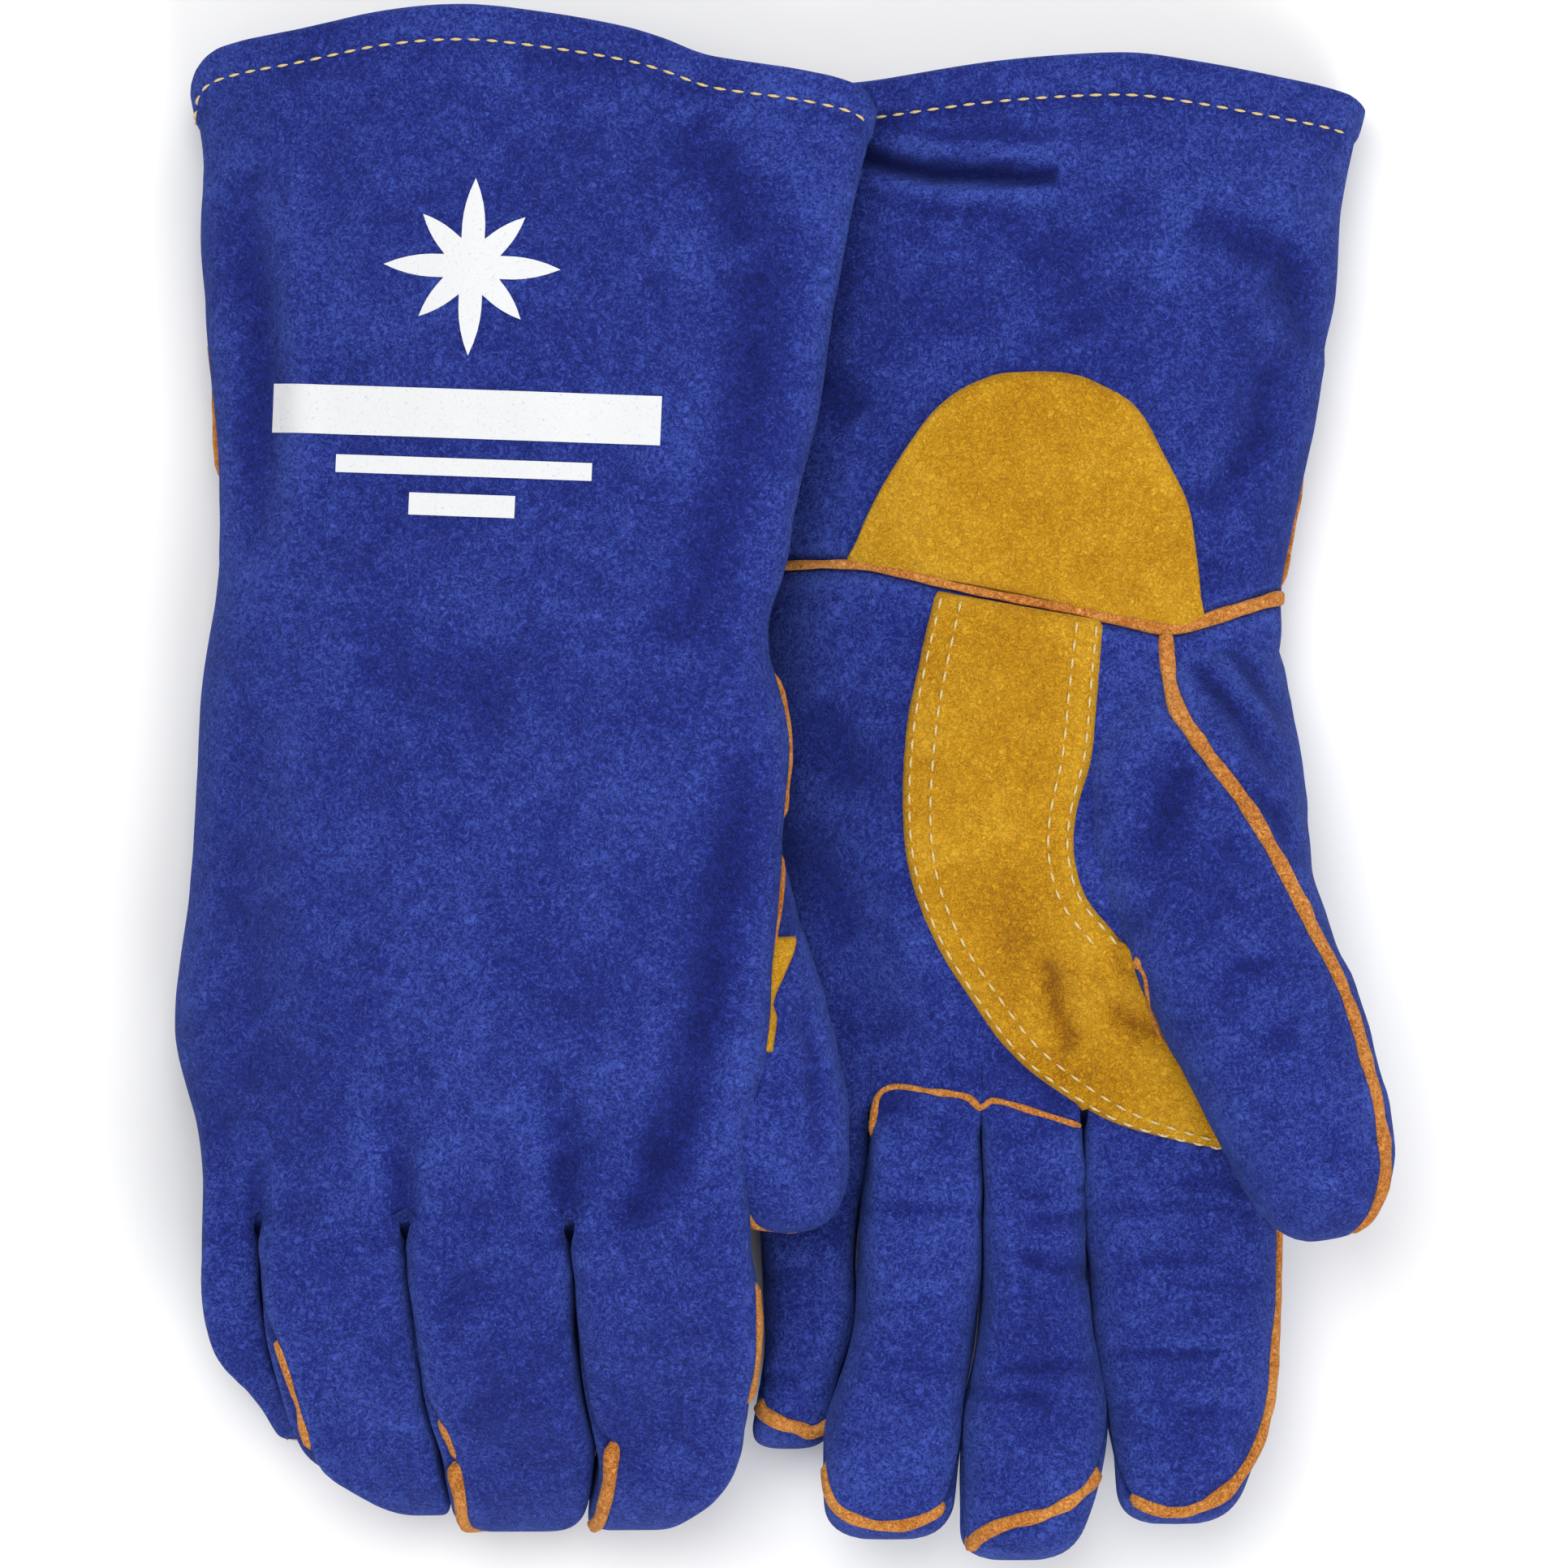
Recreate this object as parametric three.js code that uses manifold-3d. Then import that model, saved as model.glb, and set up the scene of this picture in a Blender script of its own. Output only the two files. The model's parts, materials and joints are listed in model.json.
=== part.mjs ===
// A pair of lined leather welding gloves, lying flat as they are stored: the left glove palm up, and the
// right glove back up with its thumb side resting on the left glove's little-finger side.
// Millimetres. X runs across the pair, Y towards the cuffs, Z up from the surface that they lie on.
// Each glove is a bag of sewn panels. All its layers follow one outer surface: a layer is the space
// between two insets of that surface, so leather, lining and patches stack without touching.
import * as THREE from "three";
import { mergeVertices } from "three/addons/utils/BufferGeometryUtils.js";
import Module from "manifold-3d";

const wasm = await Module();
wasm.setup();

// ---- Driving dimensions ----
const LEATHER = 1.8; // split leather
const LINING_OUTER = 2.6; // where the lining starts, under the leather
const LINING_INNER = 5.0; // the face of the lining that the hand meets
const GAP = 0.4; // between neighbouring pieces
const WELT = 1.7; // thickness of the strip sewn into a seam
const WELT_PROUD = 1.6; // how far a welt stands out of its seam
const SEAM = WELT + 2 * GAP; // a welted seam's opening
const HEM_DEPTH = 13; // how far the cuff's edge is turned in
const HEM_STEP = 3; // how far the cuff's lower edge stops short of its upper edge
const PALM_SPLIT = 2.6; // the wrist seam's opening, measured along the glove
const WELT_STOP = 22; // how far past the wrist the thumb-side welt runs
const PATCH_GAP = 2 * GAP; // under a patch, where the leather below is faceted more coarsely
const BASE_WELT = 1; // thickness of the strip at the base of the fingers
const THUMB_CLEARANCE = 0.6; // between a palm patch and the thumb
const HOLLOW_CLEARANCE = 0.3; // between the thumb's cavity and the hole for it in the palm
const PAIR_CENTRE = new THREE.Vector3(-1.75, 0, 0); // middle of the pair, put at the origin

const HAND_SIDES = 10; // facets across one face of the hand
const DIGIT_SIDES = 5; // facets round half of a digit
const DIGIT_STEPS = 6; // facets along a digit

// ---- Materials ----
const leather = (colour) => new THREE.MeshStandardMaterial({ color: colour, roughness: 0.95, metalness: 0 });
const BLUE = leather(0x1c2f9e);
const GOLD = leather(0xc8921c);
const WELT_TAN = leather(0xb8681f);
const CANVAS = leather(0xd8cfb8);
const FLEECE = leather(0xe4e0d4);

// A smooth curve through [position, value] knots, level beyond its ends.
function smooth(knots) {
  const slope = (i) => {
    const a = knots[Math.max(i - 1, 0)];
    const b = knots[Math.min(i + 1, knots.length - 1)];
    return (b[1] - a[1]) / (b[0] - a[0]);
  };
  return (v) => {
    if (v <= knots[0][0]) return knots[0][1];
    if (v >= knots.at(-1)[0]) return knots.at(-1)[1];
    const i = knots.findIndex((k) => k[0] > v) - 1;
    const span = knots[i + 1][0] - knots[i][0];
    const u = (v - knots[i][0]) / span;
    const [p, q] = [knots[i][1], knots[i + 1][1]];
    const [m, n] = [slope(i) * span, slope(i + 1) * span];
    return p + m * u + (3 * (q - p) - 2 * m - n) * u * u + (2 * (p - q) + m + n) * u * u * u;
  };
}

const mix = THREE.MathUtils.lerp;
const bulge = (s, n) => Math.pow(Math.max(0, 1 - Math.pow(Math.abs(s), n)), 1 / n);

// ---- The two gloves ----
// hem: Y of the cuff's edge by place across, -1 to 1. low and high: X of the glove's two sides by Y.
// top and under: height of the upper and lower face by Y. edge: the side seams' height by Y.
// lift: how much the high side is raised by what lies under it. crown: how boxy each side is.
const LEFT = {
  side: "left",
  palmUp: true,
  knuckle: -80,
  wrist: 42,
  hem: smooth([[-1, 154], [-0.45, 161], [0.2, 164.7], [0.6, 161.5], [1, 154]]),
  low: smooth([[-80, -9], [0, -9], [43, -8], [110, -12], [154, -14]]),
  high: smooth([
    [-80, 112.5], [-40, 114], [0, 115.5], [20, 115.5],
    [43, 113], [65, 116.4], [110, 123.5], [154, 131.5],
  ]),
  top: smooth([[-80, 36], [-50, 40], [-20, 42], [10, 39], [43, 33], [110, 33], [154, 34]]),
  under: smooth([[-80, -1.5], [154, -1.5]]),
  edgeLow: smooth([[-80, 10], [154, 9]]),
  edgeHigh: smooth([[-80, 18], [43, 16], [154, 16]]),
  lift: smooth([[-80, 0], [154, 0]]),
  crownLow: 1.5,
  crownHigh: 2.5,
};
const RIGHT = {
  side: "right",
  palmUp: false,
  knuckle: -104,
  wrist: 42,
  hem: smooth([
    [-1, 158], [-0.88, 167], [-0.54, 171.7], [-0.19, 175],
    [0.1, 172.8], [0.4, 167.4], [0.75, 161], [1, 152],
  ]),
  low: smooth([
    [-104, -131], [-78, -134], [-56, -137.5], [-12, -134.7],
    [32, -130], [65, -129], [120, -132], [158, -135.5],
  ]),
  high: smooth([
    [-104, -7], [-67, -5], [-32, -1.5], [0, -1.5], [30, -2.5],
    [49, 1], [83, 6.4], [118, 14], [152, 20],
  ]),
  top: smooth([[-104, 40], [-50, 44], [0, 41], [43, 37], [110, 34], [175, 33]]),
  under: smooth([[-104, 9], [-50, 6], [0, 4], [43, 2], [90, -1.5], [175, -1.5]]),
  edgeLow: smooth([[-104, 22], [-50, 20], [43, 16], [175, 15]]),
  edgeHigh: smooth([[-104, 23], [-50, 22], [43, 17], [175, 16]]),
  lift: smooth([[-104, 17], [-50, 24], [43, 24], [175, 25]]),
  crownLow: 2.4,
  crownHigh: 2.6,
};

// Digits: a spine from root to tip, with half widths and half heights at root, middle and near the tip.
// reach is how far back from the tip the end is rounded. turn rolls the seams round the spine, in degrees.
const LEFT_DIGITS = {
  little: {
    spine: [[4.4, -80.4, 11.8], [5, -103, 12], [3.8, -127, 16], [2, -149, 21]],
    wide: [12.4, 11.2, 9.2],
    high: [10.8, 10.8, 10],
  },
  ring: {
    spine: [[31.6, -80.4, 17], [31.6, -110, 17.5], [26.6, -141, 23], [23.5, -169.5, 30]],
    wide: [12.6, 13.6, 15],
    high: [15.5, 15.5, 13.5],
  },
  middle: {
    spine: [[57.2, -80.4, 18.5], [59, -111, 19], [58.4, -143, 24], [55, -174.3, 32]],
    wide: [11.2, 12.4, 15.6],
    high: [16.5, 16, 14],
  },
  index: {
    spine: [[91, -80.4, 18], [91.5, -108, 18.5], [92, -138, 22], [87, -167, 28]],
    wide: [21, 20.4, 17],
    high: [16.5, 15.5, 13.5],
  },
};
const RIGHT_DIGITS = {
  little: {
    spine: [[-122.4, -104.4, 26], [-121.2, -118, 23.5], [-117.4, -133, 17.5], [-112.6, -147.5, 11]],
    wide: [8.7, 8, 6.2],
    high: [13, 12.5, 10.5],
  },
  ring: {
    spine: [[-96.8, -104.4, 33], [-96.4, -126, 29.5], [-92.8, -147, 21.5], [-86.5, -164.5, 11.5]],
    wide: [16, 15.6, 13.8],
    high: [15.5, 15, 12],
  },
  middle: {
    spine: [[-60.5, -104.4, 37], [-60.5, -127, 33], [-60, -149, 23], [-58.5, -168, 11.5]],
    wide: [17.4, 17, 15.4],
    high: [16, 15.5, 12],
  },
  index: {
    spine: [[-24.5, -104.4, 41], [-24.5, -126, 36], [-26, -147, 25], [-29.5, -165, 12.5]],
    wide: [17, 17.4, 16],
    high: [16, 15.5, 12],
  },
};
const LEFT_THUMB = {
  spine: [[90, 14, 33], [97, -22, 40], [109.5, -60, 47], [125, -101.5, 48]],
  wide: [20, 22, 18.5],
  high: [15, 15, 13.5],
  turn: 42,
};
const RIGHT_THUMB = {
  spine: [[-19, 16, 32], [-12, -18, 38], [1.5, -60, 44.5], [4.2, -100.5, 46.5]],
  wide: [11, 11.5, 10.2],
  high: [13, 15, 14.5],
  turn: -32,
};
const TIP_REACH = 0.24; // share of a digit's length that is rounded off
const UNDER_CROWN = 3.2; // how boxy the hand's lower face is
const DIGIT_CROWN = 2.3; // how boxy a digit's section is
const TIP_CROWN = 2.4; // how square a digit's tip is
const DIGIT_MIDDLE = 0.5; // where along a digit its second and third sizes are given
const DIGIT_NEAR_TIP = 0.85;
const WELT_REACH = [0.3, 0.92]; // where along a thumb its welt starts and ends
const BODY_TOP = 100; // Y where the solid that trims a thumb's root starts, clear above the thumb
const KNUCKLE_FACE = new THREE.Vector3(0, -1, 0); // a finger's root is square to this, to meet the hand

// A point on one face of a glove's hand and cuff, `inset` inside its outer surface. across is -1 to 1,
// face is 1 for the upper face and -1 for the lower, and split is how far the face stands off the seam.
function onHand(glove, across, y, face, inset, split = 0) {
  const x = mix(glove.low(y) + inset, glove.high(y) - inset, (across + 1) / 2);
  const edge = mix(glove.edgeLow(y), glove.edgeHigh(y), (across + 1) / 2);
  const crown = mix(glove.crownLow, glove.crownHigh, THREE.MathUtils.smoothstep(across, -0.6, 0.6));
  const apex = face > 0 ? glove.top(y) - inset : glove.under(y) + inset;
  const start = edge + (face * split) / 2;
  const lift = glove.lift(y) * Math.pow((across + 1) / 2, 1.5);
  const z = start + (apex - start) * bulge(across, face > 0 ? crown : UNDER_CROWN) + lift;
  return new THREE.Vector3(x, y, face > 0 ? z : Math.max(z, inset));
}
const hemY = (glove, across, face) => glove.hem(across) - (face > 0 ? 0 : HEM_STEP);
const acrossAt = (glove, x, y) => (2 * (x - glove.low(y))) / (glove.high(y) - glove.low(y)) - 1;

// A point on a digit. angle goes round its section from its high-X side over the top, along runs 0 to 1.
function onDigit(digit, angle, along, inset, split = 0) {
  const { spine, wide, high } = digit;
  const steps = spine.map((_, i) => i / (spine.length - 1));
  const at = (k, u) => smooth(spine.map((p, i) => [steps[i], p[k]]))(u);
  const place = (u) => new THREE.Vector3(at(0, u), at(1, u), at(2, u));
  const length = place(0).distanceTo(place(1));
  const end = 1 - inset / length;
  const u = along * end;
  const centre = place(u);
  const forward = place(Math.min(u + 0.01, 1)).sub(place(Math.min(u, 0.99))).normalize();
  if (digit.turn === undefined) {
    forward.lerp(KNUCKLE_FACE, 1 - THREE.MathUtils.smoothstep(u, 0, 0.3)).normalize();
  }
  const lateral = new THREE.Vector3(0, 0, 1).cross(forward).normalize();
  const normal = forward.clone().cross(lateral);
  const from = 1 - TIP_REACH;
  const close = u > from ? bulge((u - from) / (end - from), TIP_CROWN) : 1;
  const places = [0, DIGIT_MIDDLE, DIGIT_NEAR_TIP];
  const size = (list) => smooth(list.map((value, i) => [places[i], value]))(u) - inset;
  const across = Math.cos(angle);
  const rise = Math.sign(Math.sin(angle)) * bulge(across, DIGIT_CROWN);
  const apart = split ? (split / 2) * Math.sign(Math.sin(angle)) : 0;
  return centre
    .addScaledVector(lateral, size(wide) * close * across)
    .addScaledVector(normal, size(high) * close * rise + apart);
}

// ---- Solids ----
// A closed geometry from a list of triangles: its vertices are merged, and faces that collapsed dropped.
function closed(triangles) {
  const flat = new Float32Array(triangles.length * 9);
  triangles.flat().forEach((p, i) => p.toArray(flat, i * 3));
  const loose = new THREE.BufferGeometry();
  loose.setAttribute("position", new THREE.BufferAttribute(flat, 3));
  const merged = mergeVertices(loose, 1e-3);
  const index = [];
  const source = merged.index.array;
  for (let i = 0; i < source.length; i += 3) {
    const [a, b, c] = [source[i], source[i + 1], source[i + 2]];
    if (a !== b && b !== c && a !== c) index.push(a, b, c);
  }
  merged.setIndex(index);
  const made = asSolid(merged);
  return made.volume() > 0 ? merged : flipped(merged);
}

function flipped(geometry) {
  const index = Array.from(geometry.index.array);
  for (let i = 0; i < index.length; i += 3) [index[i + 1], index[i + 2]] = [index[i + 2], index[i + 1]];
  return geometry.setIndex(index);
}

const asSolid = (geometry) =>
  new wasm.Manifold(
    new wasm.Mesh({
      numProp: 3,
      vertProperties: new Float32Array(geometry.attributes.position.array),
      triVerts: new Uint32Array(geometry.index.array),
    }),
  );

function asGeometry(solid) {
  const mesh = solid.getMesh();
  const geometry = new THREE.BufferGeometry();
  geometry.setAttribute("position", new THREE.BufferAttribute(new Float32Array(mesh.vertProperties), 3));
  geometry.setIndex(Array.from(mesh.triVerts));
  return geometry;
}

// The space between two grids of points, outer(i, j) and inner(i, j), closed round its rim.
function between(outer, inner, across, along, wraps = false) {
  const triangles = [];
  const quad = (a, b, c, d) => triangles.push([a, b, c], [a, c, d]);
  for (let i = 0; i < across; i++)
    for (let j = 0; j < along; j++) {
      quad(outer(i, j), outer(i + 1, j), outer(i + 1, j + 1), outer(i, j + 1));
      quad(inner(i, j), inner(i, j + 1), inner(i + 1, j + 1), inner(i + 1, j));
    }
  for (let i = 0; i < across; i++) {
    quad(outer(i + 1, 0), outer(i, 0), inner(i, 0), inner(i + 1, 0));
    quad(outer(i, along), outer(i + 1, along), inner(i + 1, along), inner(i, along));
  }
  for (let j = 0; j < along && !wraps; j++) {
    quad(outer(0, j), outer(0, j + 1), inner(0, j + 1), inner(0, j));
    quad(outer(across, j + 1), outer(across, j), inner(across, j), inner(across, j + 1));
  }
  return closed(triangles);
}

// A solid without a hollow: rings of points, ring(i, j), capped at both ends.
function filled(ring, around, along) {
  const triangles = [];
  const middle = (j) => {
    const sum = new THREE.Vector3();
    for (let i = 0; i < around; i++) sum.add(ring(i, j));
    return sum.divideScalar(around);
  };
  for (let i = 0; i < around; i++) {
    for (let j = 0; j < along; j++) {
      triangles.push([ring(i, j), ring(i + 1, j), ring(i + 1, j + 1)]);
      triangles.push([ring(i, j), ring(i + 1, j + 1), ring(i, j + 1)]);
    }
    triangles.push([ring(i + 1, 0), ring(i, 0), middle(0)]);
    triangles.push([ring(i, along), ring(i + 1, along), middle(along)]);
  }
  return closed(triangles);
}

// The biggest connected piece of one geometry less others.
function cut(geometry, ...tools) {
  const rest = tools.reduce((solid, tool) => solid.subtract(asSolid(tool)), asSolid(geometry));
  const pieces = rest.decompose().sort((a, b) => b.volume() - a.volume());
  return asGeometry(pieces[0]);
}

// ---- Layers of the hand and cuff ----
// A panel on one face, from fromY towards the fingers to toY, between two insets.
function panel(glove, face, fromY, toY, outer, inner, along, across = HAND_SIDES, split = SEAM) {
  const point = (inset) => (i, j) => {
    const s = Math.cos((Math.PI * i) / across);
    return onHand(glove, s, mix(fromY(s), toY(s), j / along), face, inset, split);
  };
  return between(point(outer), point(inner), across, along);
}

// A panel with a free outline on one face: left(v) and right(v) are points [x, y] for v from 0 to 1.
function patch(glove, face, left, right, outer, inner, across, along) {
  const point = (inset) => (i, j) => {
    const [a, b] = [left(j / along), right(j / along)];
    const [x, y] = [mix(a[0], b[0], i / across), mix(a[1], b[1], i / across)];
    return onHand(glove, acrossAt(glove, x, y), y, face, inset, SEAM);
  };
  return between(point(outer), point(inner), across, along);
}

// A tube that follows the whole section, for linings and the turned hem.
function sleeve(glove, fromY, toY, outer, inner, along, around = 2 * HAND_SIDES) {
  const point = (inset) => (i, j) => {
    const angle = (2 * Math.PI * (i % around)) / around;
    const s = Math.cos(angle);
    const face = Math.sin(angle) >= 0 ? 1 : -1;
    return onHand(glove, s, mix(fromY(s, face), toY, j / along), face, inset);
  };
  return between(point(outer), point(inner), around, along, true);
}

// A strip in a side seam, from one Y to another. end is -1 for the low side and 1 for the high side.
function sideWelt(glove, end, fromY, toY, along = 8) {
  const point = (face) => (i, j) => {
    const inset = mix(-WELT_PROUD, LEATHER / 2, i / 2);
    const p = onHand(glove, end, mix(fromY, toY, j / along), 1, inset);
    return p.setZ(p.z + (face * WELT) / 2);
  };
  return between(point(1), point(-1), 2, along);
}

const line = (...points) => {
  const [x, y] = [0, 1].map((k) => smooth(points.map((p, i) => [i / (points.length - 1), p[k]])));
  return (v) => [x(v), y(v)];
};

// ---- Digits ----
const tipwards = (v) => 1 - Math.pow(1 - v, 1.6); // steps that get shorter towards the tip
const turned = (digit) => THREE.MathUtils.degToRad(digit.turn ?? 0);
function digitHalf(digit, face, around = DIGIT_SIDES, along = DIGIT_STEPS) {
  const point = (inset) => (i, j) =>
    onDigit(digit, turned(digit) + Math.PI * ((face > 0 ? 0 : 1) + i / around), tipwards(j / along), inset);
  return parted(digit, between(point(0), point(LEATHER), around, along), face);
}

// Moves a half away from the seam's middle by half a gap, square to the seam.
const seamNormal = (digit) => new THREE.Vector3(-Math.sin(turned(digit)), 0, Math.cos(turned(digit)));
const parted = (digit, geometry, face) =>
  geometry.translate(...seamNormal(digit).multiplyScalar((face * GAP) / 2).toArray());

function digitTube(digit, outer, inner, around = 2 * DIGIT_SIDES, along = DIGIT_STEPS) {
  const point = (inset) => (i, j) =>
    onDigit(digit, turned(digit) + (2 * Math.PI * (i % around)) / around, tipwards(j / along), inset);
  return between(point(outer), point(inner), around, along, true);
}

function digitFilled(digit, inset, around = 2 * DIGIT_SIDES, along = DIGIT_STEPS) {
  const ring = (i, j) =>
    onDigit(digit, turned(digit) + (2 * Math.PI * (i % around)) / around, tipwards(j / along), inset);
  return filled(ring, around, along);
}

function digitWelt(digit, along = 7) {
  const point = (face) => (i, j) => {
    const inset = mix(-WELT_PROUD, -GAP, i / 2);
    const p = onDigit(digit, turned(digit), mix(...WELT_REACH, j / along), inset);
    return p.addScaledVector(seamNormal(digit), (face * WELT) / 2);
  };
  return between(point(1), point(-1), 2, along);
}

// ---- Building ----
const pair = new THREE.Group();

function add(group, name, geometry, material) {
  const mesh = new THREE.Mesh(geometry, material);
  mesh.name = name;
  group.add(mesh);
}

function buildHand(group, glove, thumb, patches) {
  const back = glove.palmUp ? -1 : 1;
  const front = -back;
  const edge = (face) => (s) => hemY(glove, s, face);
  const at = (y) => () => y;
  const hollow = digitFilled(thumb, LINING_INNER + HOLLOW_CLEARANCE);
  const wristTop = at(glove.wrist + PALM_SPLIT / 2);
  const wristLow = at(glove.wrist - PALM_SPLIT / 2);
  const end = at(glove.knuckle);
  const hemEnd = glove.hem(1) - HEM_DEPTH;
  const put = (piece, geometry, material) => add(group, `${glove.side}_${piece}`, geometry, material);

  put("back_panel", cut(panel(glove, back, edge(back), end, 0, LEATHER, 10), hollow), BLUE);
  put("cuff_palm_panel", panel(glove, front, edge(front), wristTop, 0, LEATHER, 5), BLUE);
  put("palm_panel", cut(panel(glove, front, wristLow, end, 0, LEATHER, 6), hollow), BLUE);
  const hem = (s, face) => hemY(glove, s, face);
  put("cuff_hem", sleeve(glove, hem, hemEnd, LINING_OUTER, LINING_OUTER + LEATHER, 2), BLUE);
  const canvas = sleeve(glove, at(hemEnd - GAP), glove.wrist, LINING_OUTER, LINING_INNER - 1, 4);
  put("cuff_lining", canvas, CANVAS);
  const fleece = sleeve(glove, at(glove.wrist - GAP), glove.knuckle, LINING_OUTER, LINING_INNER, 6);
  put("hand_lining", cut(fleece, hollow), FLEECE);

  const weltTop = at(glove.wrist + PALM_SPLIT / 2 - GAP);
  const weltLow = at(glove.wrist - PALM_SPLIT / 2 + GAP);
  put("wrist_welt", panel(glove, front, weltTop, weltLow, -WELT_PROUD, LEATHER, 1), WELT_TAN);
  const [highTop, lowTop] = [glove.hem(1) - 1, glove.hem(-1) - 1];
  put("little_side_welt", sideWelt(glove, -1, lowTop, glove.knuckle), WELT_TAN);
  put("thumb_side_welt", sideWelt(glove, 1, highTop, glove.wrist - WELT_STOP), WELT_TAN);
  const raised = [-PATCH_GAP - LEATHER, -PATCH_GAP];
  put("pulse_patch", patch(glove, front, ...patches.pulse, ...raised, 6, 5), GOLD);
  const palm = patch(glove, front, ...patches.palm, ...raised, 4, 9);
  put("palm_patch", cut(palm, digitFilled(thumb, -THUMB_CLEARANCE)), GOLD);
  put("finger_base_welt", patch(glove, front, ...patches.base, -GAP - BASE_WELT, -GAP, 6, 1), WELT_TAN);
}

function buildDigit(group, side, finger, digit, palmUp, tools) {
  const trim = (geometry) => (tools.length ? cut(geometry, ...tools) : geometry);
  const front = palmUp ? 1 : -1;
  add(group, `${side}_${finger}_front`, trim(digitHalf(digit, front)), BLUE);
  add(group, `${side}_${finger}_back`, trim(digitHalf(digit, -front)), BLUE);
  add(group, `${side}_${finger}_lining`, trim(digitTube(digit, LINING_OUTER, LINING_INNER)), FLEECE);
}

function handFilled(glove, inset) {
  const [around, along] = [2 * HAND_SIDES, 10];
  const ring = (i, j) => {
    const angle = (2 * Math.PI * (i % around)) / around;
    const s = Math.cos(angle);
    const face = Math.sin(angle) >= 0 ? 1 : -1;
    return onHand(glove, s, mix(BODY_TOP, glove.knuckle, j / along), face, inset);
  };
  return filled(ring, around, along);
}

function buildGlove(glove, digits, thumb, patches) {
  const group = new THREE.Group();
  buildHand(group, glove, thumb, patches);
  const body = handFilled(glove, -GAP - WELT_PROUD);
  buildDigit(group, glove.side, "thumb", thumb, glove.palmUp, [body]);
  add(group, `${glove.side}_thumb_welt`, cut(digitWelt(thumb), body), WELT_TAN);
  for (const [finger, digit] of Object.entries(digits)) {
    buildDigit(group, glove.side, finger, digit, glove.palmUp, []);
  }
  return group;
}

// The left glove's patches, in its plan. The right glove's are the same cuts, turned to its other hand.
const LEFT_PATCHES = {
  pulse: [
    line([15.5, 50], [22, 70], [38, 86], [54.5, 93]),
    line([94, 44.5], [91, 65], [76, 84], [55.5, 93]),
  ],
  palm: [
    line([33.5, 40], [27.5, 15], [26.5, -10], [36, -42], [66, -71], [75, -79]),
    line([72, 38], [70, 12], [65, -14], [77, -36], [92, -60], [98, -79]),
  ],
  base: [line([21, -74.5], [21, -77]), line([67, -74.5], [67, -77])],
};
const RIGHT_PATCHES = {
  pulse: [
    line([-106, 46], [-100, 68], [-85, 84], [-69, 90]),
    line([-30, 46], [-35, 68], [-50, 84], [-68, 90]),
  ],
  palm: [
    line([-88, 39], [-96, 12], [-97, -15], [-86, -50], [-58, -80], [-48, -100]),
    line([-49, 39], [-53, 12], [-57, -15], [-44, -45], [-30, -75], [-24, -100]),
  ],
  base: [line([-115, -98.5], [-115, -101]), line([-52, -98.5], [-52, -101])],
};

pair.add(buildGlove(LEFT, LEFT_DIGITS, LEFT_THUMB, LEFT_PATCHES));
pair.add(buildGlove(RIGHT, RIGHT_DIGITS, RIGHT_THUMB, RIGHT_PATCHES));
pair.children.forEach((glove) => glove.position.copy(PAIR_CENTRE).negate());

export default pair;
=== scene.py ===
# A pair of lined split-leather welding gloves, seen from above as they lie. Shapes are worked out in
# millimetres on grids of points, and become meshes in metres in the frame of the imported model.
import json
import math

import bpy
import numpy as np
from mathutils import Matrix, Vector
from mathutils.bvhtree import BVHTree


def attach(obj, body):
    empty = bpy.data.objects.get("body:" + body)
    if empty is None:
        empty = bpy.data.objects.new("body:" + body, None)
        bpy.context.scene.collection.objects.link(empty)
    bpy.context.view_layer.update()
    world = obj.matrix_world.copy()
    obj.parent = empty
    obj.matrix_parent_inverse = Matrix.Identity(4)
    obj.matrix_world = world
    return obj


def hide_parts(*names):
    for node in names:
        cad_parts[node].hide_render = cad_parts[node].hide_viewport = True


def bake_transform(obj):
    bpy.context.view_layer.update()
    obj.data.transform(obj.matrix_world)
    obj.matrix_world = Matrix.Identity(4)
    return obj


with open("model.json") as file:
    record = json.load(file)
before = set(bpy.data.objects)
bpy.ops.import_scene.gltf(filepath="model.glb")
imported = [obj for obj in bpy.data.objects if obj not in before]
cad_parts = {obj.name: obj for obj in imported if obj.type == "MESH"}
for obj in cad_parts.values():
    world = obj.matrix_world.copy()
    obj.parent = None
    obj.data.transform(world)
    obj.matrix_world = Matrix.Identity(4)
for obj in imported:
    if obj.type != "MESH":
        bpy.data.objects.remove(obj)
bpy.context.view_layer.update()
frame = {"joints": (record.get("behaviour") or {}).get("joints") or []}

MM = 0.001
PAIR_CENTRE = np.array([-1.75, 0.0, 0.0])  # middle of the pair in the shape tables below, as in the CAD
LEATHER = 1.9  # how far a patch stands proud
HEM_RADIUS = 1.9  # roundness of the cuff's turned edge
HEM_DEPTH = 13.0  # how far the edge is turned in
HEM_STITCH_PULL = 0.55  # how deep the hem's stitches pull the leather in
HEM_STITCH = 6.6  # the row of thread, from the edge
HEM_PUFF = 0.7  # how much the doubled leather stands up
HEM_INSET = 3.9  # the turned part's inner face, under the outer surface
LINING_INSET = 2.9  # the lining's inner face, under the outer surface
HEM_ROW = 1.8  # spacing of the rows of the turned part
HAND_STEP = 1.36  # spacing of a hand's rows between the wrist and the knuckles
CUFF_ROWS = 64
LINING_STOP = 7  # how many rows before the knuckles the hand's lining stops
DIGIT_LINING_GAP = 0.6  # how much further in the lining of a finger or thumb lies
LOWEST = 0.05  # no leather lies lower than this
RNG_SEED = 7
BEND_REACH = 2  # how many points to each side a bend is measured over
FULL_BEND = 0.75  # how far the middle of a valley lies under its sides where the painted shade is darkest
SEAM_SHADE = 1.1  # how far from a seam the painted shade reaches
FOLD_SHADE = 0.2  # how much painted shade is added for each millimetre of a fold's depth
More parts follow.
